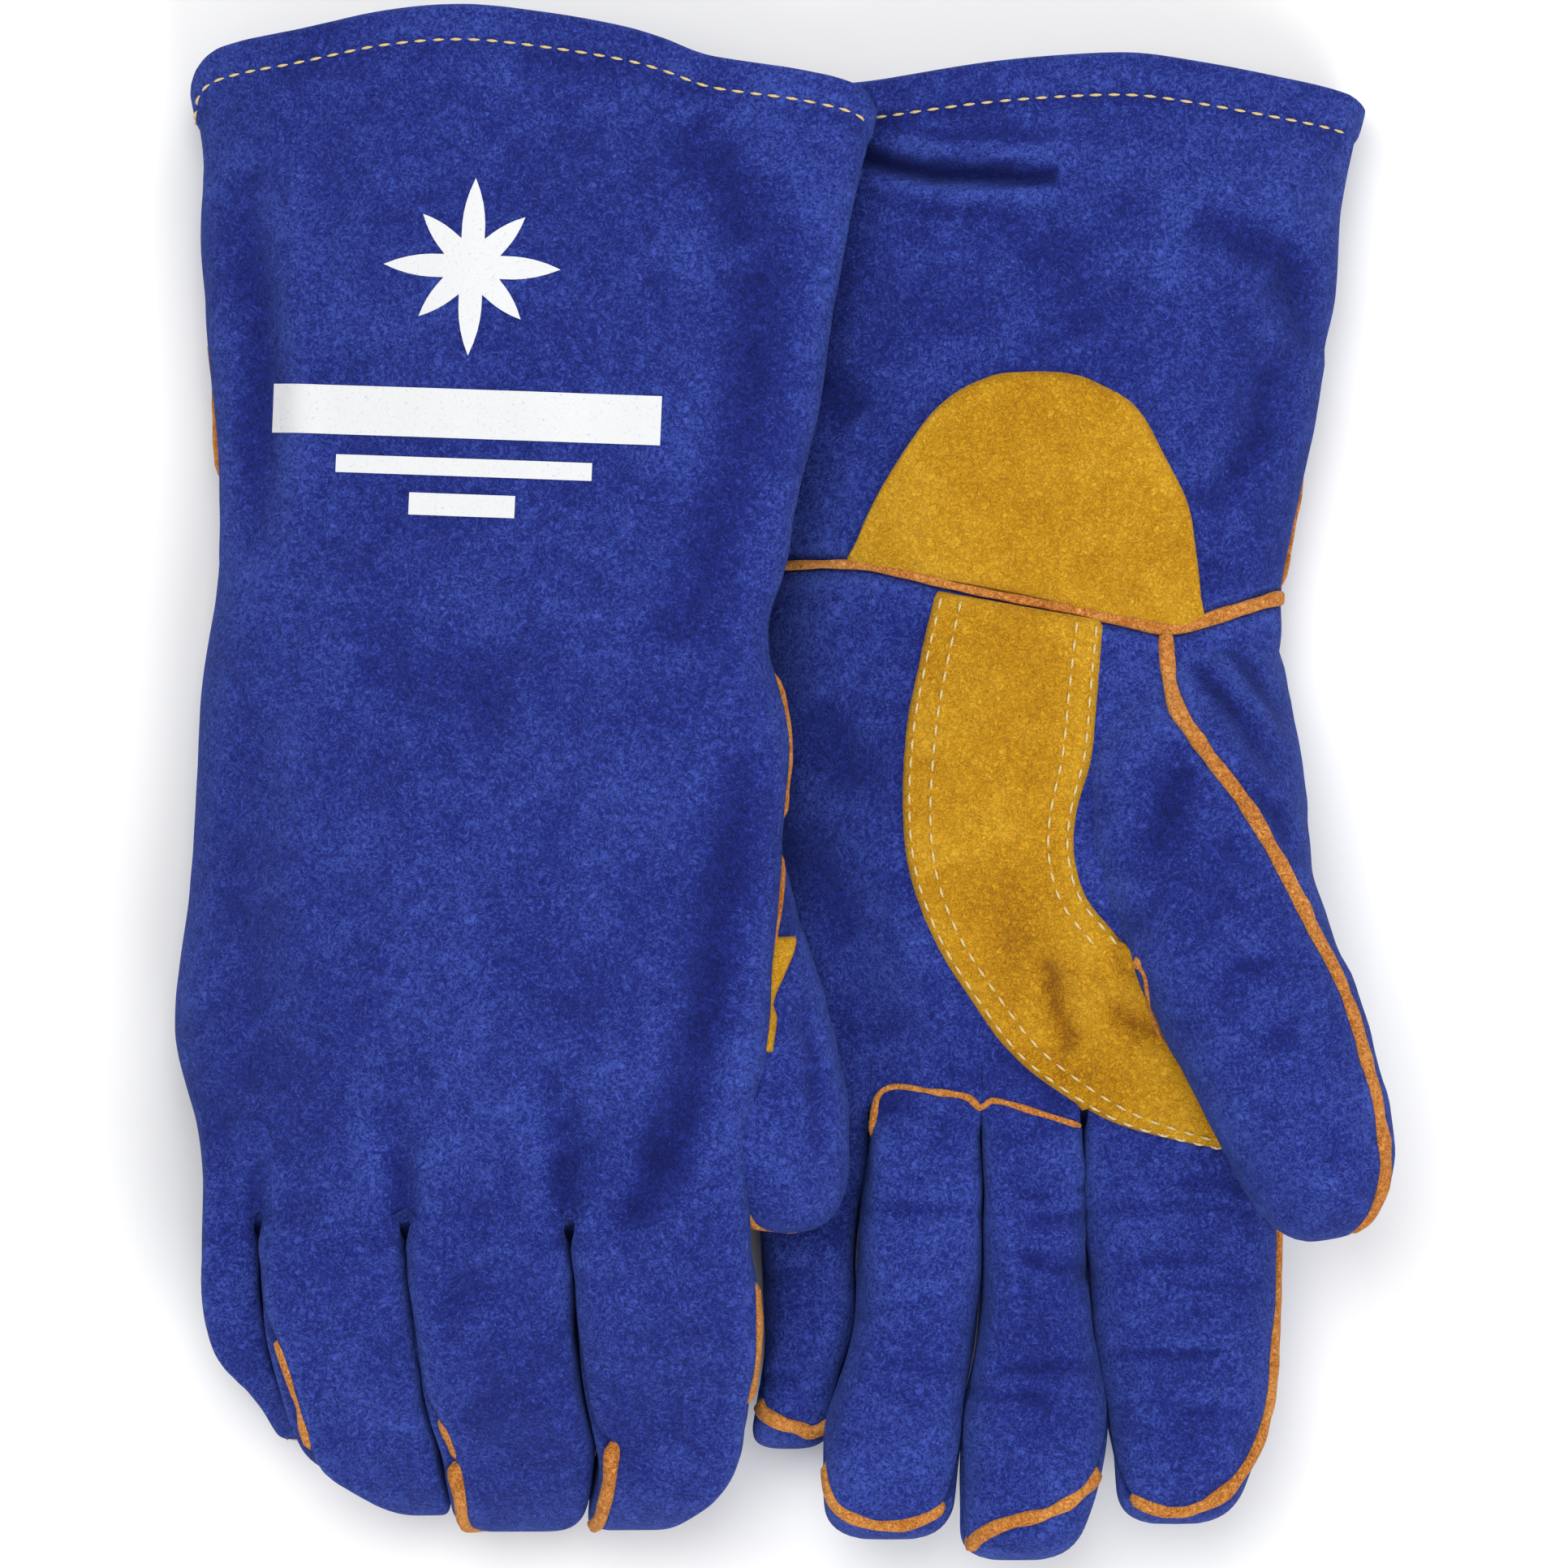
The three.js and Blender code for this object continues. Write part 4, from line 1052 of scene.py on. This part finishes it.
def build_thumb(glove, thumb, hand, seed):
    side = glove["side"]
    palm_tree = surface_tree(hand["palm_panel"], hand["back_panel"])
    u = 1 - (1 - np.linspace(0, 1, THUMB_ROWS)) ** 1.3
    seam = stretched(np.radians(thumb["seam"]))
    made, edge, ups = {}, None, None
    for key, turn in (("front", 1), ("back", -1)):
        grid = np.array([thumb_arc(thumb, v, seam(v), seam(v) + turn * math.pi, THUMB_COLUMNS) for v in u])
        normals = grid_normals(grid, -turn)
        relief = rippled(grid, seed, (0.8, 48), (0.4, 17), (0.12, 8))
        across = np.linspace(0, 1, grid.shape[1])[None, :]
        waves = 0.012 * np.sin(across * 7 + seed) + 0.01 * np.sin(across * 15 + seed)
        for place, width, depth in thumb["wrinkles"]:
            share = (across * (1 - across) * 4) ** 0.7 * (1.0 if key == "front" else 0.8)
            relief = relief - depth * np.exp(-(((u[:, None] + waves - place) / width) ** 2)) * share
        relief = relief + folded(grid, thumb["folds"]) * np.clip(normals[..., 2] * 2, 0, 1)
        at_tip = 1 - ease(u, 0.95, 1.0)[:, None]
        from_seam = edge_distance(grid, ("left", "right"))
        moved = grid + normals * (relief * at_tip + seam_roll(from_seam, 3.6, 2.2) * at_tip)[..., None]
        moved = off_floor(moved, THUMB_FLOOR)
        # the thumb's suede gets painted shade in wrinkles, folds and along its seams, and painted highlight
        # on ridges
        made[key] = grid_object(f"{side}_thumb_{key}", moved, BLUE, turn < 0,
                                shade(moved, -turn, from_seam, thumb["folds"]))
        if key == "front":
            edge, far = grid[:, 0], grid[:, -1]
            ups, far_ups = normals[:, 0], normals[:, -1]
    last = len(u) - 2
    over_tip = slice(last - WELT_OVER_TIP, last)
    path = np.concatenate([edge[2:last], far[over_tip][::-1]])
    outward = np.concatenate([ups[2:last], far_ups[over_tip][::-1]])
    path = path - outward * 0.9
    if side == "left":
        on_palm, palm_normals = dropped(palm_tree, path[:, :2], 1)
        rises = path[:, 1] > LEFT_THUMB_EMERGES
        lower = rises & (on_palm[:, 2] > path[:, 2])
        path[lower], outward[lower] = on_palm[lower], palm_normals[lower]
    points, faces = swept(path, outward, 3.7, 3.2, 12, 0.16, seed)
    made["welt"] = mesh_object(f"{side}_thumb_welt", points, faces, TAN)
    inset = LINING_INSET + DIGIT_LINING_GAP
    inner = np.array([thumb_arc(thumb, v, 0, 2 * math.pi, 2 * DIGIT_LINING_COLUMNS, inset) for v in u[::3]])
    inner = off_floor(inner, THUMB_FLOOR + LINING_INSET)
    made["lining"] = grid_object(f"{side}_thumb_lining", inner, FLEECE)
    for key, piece in made.items():
        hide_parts(f"{side}_thumb_{key}")
        bend_with_thumb(piece, side, thumb)
    return made


def bend_with_thumb(piece, side, thumb):
    """Looks up the thumb's joint and tip, and bakes a piece's placement into its mesh."""
    joint = next(j for j in frame["joints"] if j["child"] == f"{side}_thumb")
    pivot = np.array(joint["pos_m"])
    tip = (np.array(thumb["spine"][-1]) - PAIR_CENTRE) * MM
    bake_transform(piece)


# ---- Patches, and what is sewn on top ----
def line_through(points, count):
    """count + 1 even points on a smooth curve through plan points."""
    points = np.array(points, float)
    lengths = lengths_along(points)
    at = np.linspace(0, lengths[-1], count + 1)
    return np.stack([curve(*zip(lengths, column))(at) for column in points.T], axis=1)


def between(first, second, count, rows):
    """A plan grid between two smooth lines."""
    first, second = line_through(first, count), line_through(second, count)
    return mix(first[None], second[None], np.linspace(0, 1, rows + 1)[:, None, None])


def patch(name, plan, tree, face, thickness=LEATHER, above=None):
    """A raw-edged piece laid on a surface: plan is a (rows, columns, 2) grid."""
    places, normals = dropped(tree, plan, face)
    if above is not None:
        places[..., 2] += above(places)
    places = blurred(places, PATCH_SMOOTHING)
    normals = grid_normals(places, 1)
    normals *= np.sign(normals[..., 2:] * face)
    from_edge = edge_distance(places, ("top", "bottom", "left", "right"))
    rise = (thickness + PATCH_SINK) * np.sqrt(np.clip(from_edge / PATCH_EDGE, 0, 1))
    height = -PATCH_SINK + rise + rippled(places, 60, (0.12, 5), (0.2, 16))
    grid = off_floor(places + normals * height[..., None])
    first = np.cross(grid[1, 1] - grid[1, 0], grid[2, 1] - grid[1, 1])[2]
    # painted shade in folds and along the patch's raw edge, painted highlight on ridges
    painted_shading = shade(places, -np.sign(first) * face, from_edge + 1.2,
                   LEFT["folds"]["top"] if face > 0 else ())
    return grid_object(name, grid, GOLD, first * face < 0, painted_shading)


def surface_piece(name, parts, material, body):
    """Thread or print, which has no slot of its own in the CAD."""
    piece = join(name, parts, material)
    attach(piece, body)


def finger_base_welt(side, line, tree, face, sink, width, height, wobble):
    places, normals = dropped(tree, line_through(line, 60), face)
    points, faces = swept(places - normals * sink, normals, width, height, 10, wobble, 9)
    return mesh_object(f"{side}_finger_base_welt", off_floor(points), faces, TAN)


PULSE_LEFT = [(14.8, 50.2), (19, 61.5), (26.4, 74.3), (35.5, 86.2), (46.5, 92.2), (55.6, 93.3),
              (64.8, 92.6), (70.3, 90.8), (79.4, 85.3), (86.7, 72.5), (91.3, 63.3), (93.1, 52.3),
              (94.6, 36.4)]
PULSE_BASE = [(14.8, 50.2), (24.5, 48.6), (42.8, 44.2), (61.1, 40.2), (79.4, 36), (87.5, 34.8),
              (94.6, 36.4)]
PALM_INNER = [(34.2, 44.2), (30, 26.7), (27.3, 12.1), (26.4, -6.2), (28.2, -20.9), (33.7, -35.5),
              (42.8, -50.1), (52, -62), (63, -70.3), (74.5, -76.5), (88, -80.3), (105, -83.5)]
PALM_OUTER = [(72.2, 36.9), (70.8, 21.2), (69.4, 6.6), (66, -6.2), (65.3, -15.4), (67.8, -25),
              (74.8, -33.7), (80.5, -40.5), (88, -50), (97, -61), (106, -71), (113, -79)]
PALM_THREADS = (0.045, 0.16)  # two rows along each edge, as shares of the patch's width
CROTCH_BINDING = [(78.6, -39.6), (80.6, -42.6), (81.7, -48), (83.4, -54), (85.6, -59)]
FINGER_BASE = [(19.6, -80), (20.2, -75.8), (21.4, -70.2), (25, -68.3), (33, -69.3), (41.4, -70.6),
               (44.3, -72.9), (47, -71.3), (57, -74), (67.5, -77.3)]


def build_left_details(hand, thumb):
    palm_tree = surface_tree(hand["palm_panel"], hand["cuff_palm_panel"])
    both_tree = surface_tree(hand["palm_panel"], thumb["front"])

    pulse = patch("left_pulse_patch", between(PULSE_LEFT, PULSE_BASE, 72, 30), palm_tree, 1)

    def over_thumb(places):
        high, _ = dropped(both_tree, places[..., :2], 1)
        rise = np.clip(high[..., 2] - places[..., 2], 0, 9)
        return rise * ease(places[..., 1], -44, -36)

    index_front = bpy.data.objects["left_index_front_sewn"]
    index_tree = surface_tree(hand["palm_panel"], hand["cuff_palm_panel"], index_front)
    palm = patch("left_palm_patch", between(PALM_INNER, PALM_OUTER, 100, 30), index_tree, 1,
                 above=over_thumb)
    welt = finger_base_welt("left", FINGER_BASE, palm_tree, 1, 0.3, 1.5, 2.0, 0.25)
    for piece in (pulse, palm, welt):
        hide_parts(piece.name.removesuffix("_sewn"))
    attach(pulse, "left_hand")
    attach(welt, "left_hand")
    bend_with_finger(palm, "left")

    patch_tree = surface_tree(palm)
    inner, outer = line_through(PALM_INNER, 100), line_through(PALM_OUTER, 100)
    for number, share in enumerate(PALM_THREADS, 1):
        lines = {"inner": mix(inner, outer, share)[1:-2], "outer": mix(inner, outer, 1 - share)[1:60]}
        for edge, line in lines.items():
            rows = stitches(*dropped(patch_tree, line, 1))
            surface_piece(f"left_palm_patch_thread_{edge}_{number}", rows, THREAD, "left_hand")

    # Where the thumb leaves the palm: a narrow binding beside the patch, and the seam's knotted end
    places, normals = dropped(surface_tree(palm, thumb["front"]), line_through(CROTCH_BINDING, 40), 1)
    places, normals = blurred_line(places, 4), unit(blurred_line(normals, 4))
    thinner = np.linspace(1, 0.5, len(places))  # it runs out into the seam
    points, faces = swept(places - normals * 0.2, normals, 1.5 * thinner, 1.7 * thinner, 10, 0.3, 11)
    knot = [swept(places[:5] + normals[:5] * (0.5 + 0.3 * k) + (0.5 * k, 0.5 * k, 0), normals[:5],
                  1.6, 1.3, 8, 0.3, k) for k in range(3)]
    binding = join("left_crotch_binding", [(points, faces), *knot], TAN)
    bend_with_thumb(binding, "left", LEFT_THUMB)


# The right glove's same cuts, on its lower face, and the end of its patch that shows beside the thumb
RIGHT_PALM_INNER = [(-88, 42), (-95, 14), (-97, -14), (-88, -48), (-70, -76), (-44, -98), (-26, -102)]
RIGHT_PALM_OUTER = [(-49, 42), (-52, 14), (-57, -14), (-49, -42), (-36, -66), (-24, -84), (-16, -94)]
RIGHT_FINGER_BASE = [(-115, -100), (-96, -97), (-85, -99.5), (-66, -97.5), (-50, -101)]
TAB_INNER = [(-5, -34), (-5, -37), (-5, -43), (-5, -49), (-5, -52), (-5, -60)]
TAB_OUTER = [(2.4, -34), (2.6, -37), (0.2, -43), (-2.2, -49), (-1.4, -52), (-2.4, -60)]
TAB_THICKNESS = 1.7
RIGHT_PULSE_SHIFT = (-67 - 54.7, -2)  # from the left glove's pulse patch to the right one's, in plan


def build_right_details(hand, thumb):
    tree = surface_tree(hand["palm_panel"], hand["cuff_palm_panel"])
    pulse_lines = (np.array(line) + RIGHT_PULSE_SHIFT for line in (PULSE_LEFT, PULSE_BASE))
    pulse = patch("right_pulse_patch", between(*pulse_lines, 72, 30), tree, -1)
    under = patch("right_palm_patch_under", between(RIGHT_PALM_INNER, RIGHT_PALM_OUTER, 90, 26), tree, -1)
    thumb_tree = surface_tree(thumb["back"], thumb["front"])
    tab = patch("right_palm_patch_tab", between(TAB_INNER, TAB_OUTER, 40, 12), thumb_tree, 1, TAB_THICKNESS)
    palm = merged("right_palm_patch", [under, tab], GOLD)
    welt = finger_base_welt("right", RIGHT_FINGER_BASE, tree, -1, 0.2, 1.9, 2.2, 0.2)
    for piece in (pulse, palm, welt):
        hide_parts(piece.name.removesuffix("_sewn"))
        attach(piece, "right_hand")


def merged(name, pieces, material):
    """One object from finished ones, which are taken away."""
    parts = []
    for piece in pieces:
        points = np.array([v.co for v in piece.data.vertices]) / MM + PAIR_CENTRE
        parts.append((points, [tuple(p.vertices) for p in piece.data.polygons]))
        bpy.data.objects.remove(piece)
    return join(name, parts, material)


def build_hem_threads(glove, outer):
    parts = []
    for face, (base, relief) in outer.items():
        grid = raised_grid(base, face, relief)
        from_hem = edge_distance(base, ("top",))[:, base.shape[1] // 2]
        row = int(np.argmin(np.abs(from_hem - HEM_STITCH)))
        parts += stitches(grid[row, 3:-3], grid_normals(grid, face)[row, 3:-3])
    surface_piece(f"{glove['side']}_hem_thread", parts, THREAD, f"{glove['side']}_hand")


# A plain printed mark: a burst of sparks over three bars
MARK_CENTRE, MARK_TILT = (-71, 92), math.radians(-2.5)
INK_RISE = 0.16


def mark_plan(points):
    c, s = math.cos(MARK_TILT), math.sin(MARK_TILT)
    points = np.asarray(points, float)
    return np.stack([MARK_CENTRE[0] + points[..., 0] * c - points[..., 1] * s,
                     MARK_CENTRE[1] + points[..., 0] * s + points[..., 1] * c], -1)


def bar(width, height, y):
    x = np.linspace(-width / 2, width / 2, int(width / 1.2) + 1)
    t = np.linspace(-0.5, 0.5, 6)
    return np.stack(np.broadcast_arrays(x[None, :], y + t[:, None] * height), -1)


def burst(radius, points, y):
    """A plan grid of a burst of points, every other one shorter."""
    angles = np.linspace(0, 2 * math.pi, points * 12 + 1)
    turn = angles * points / (2 * math.pi)
    wave = np.abs((turn % 1) * 2 - 1)
    long = np.where((turn + 0.5).astype(int) % 2 == 0, 1.0, 0.72)
    edge = radius * (0.34 + 0.66 * wave**1.3 * long)
    rings = np.linspace(0, 1, 14)[:, None]
    return np.stack([rings * edge * np.sin(angles), y + rings * edge * np.cos(angles)], -1)


def build_mark(hand):
    tree = surface_tree(hand["back_panel"])
    parts = []
    for plan in (burst(20, 8, 24), bar(88, 11, -9), bar(58, 4, -21), bar(24, 5, -29.5)):
        places, normals = dropped(tree, mark_plan(plan), 1)
        grid = places + normals * INK_RISE
        parts.append(sheet(grid, np.cross(grid[0, 1] - grid[0, 0], grid[1, 0] - grid[0, 0])[2] < 0))
    surface_piece("right_cuff_printed_mark", parts, INK, "right_hand")


camera_and_light()
hands = {}
for glove in (LEFT, RIGHT):
    hands[glove["side"]], faces_of_hand = build_hand(glove)
    for order, finger_name in enumerate(FINGERS):
        build_finger(glove, finger_name, 30 + 7 * order + (3 if glove is RIGHT else 0))
    build_hem_threads(glove, faces_of_hand)
left_thumb = build_thumb(LEFT, LEFT_THUMB, hands["left"], 71)
right_thumb = build_thumb(RIGHT, RIGHT_THUMB, hands["right"], 83)
build_left_details(hands["left"], left_thumb)
build_right_details(hands["right"], right_thumb)
build_mark(hands["right"])
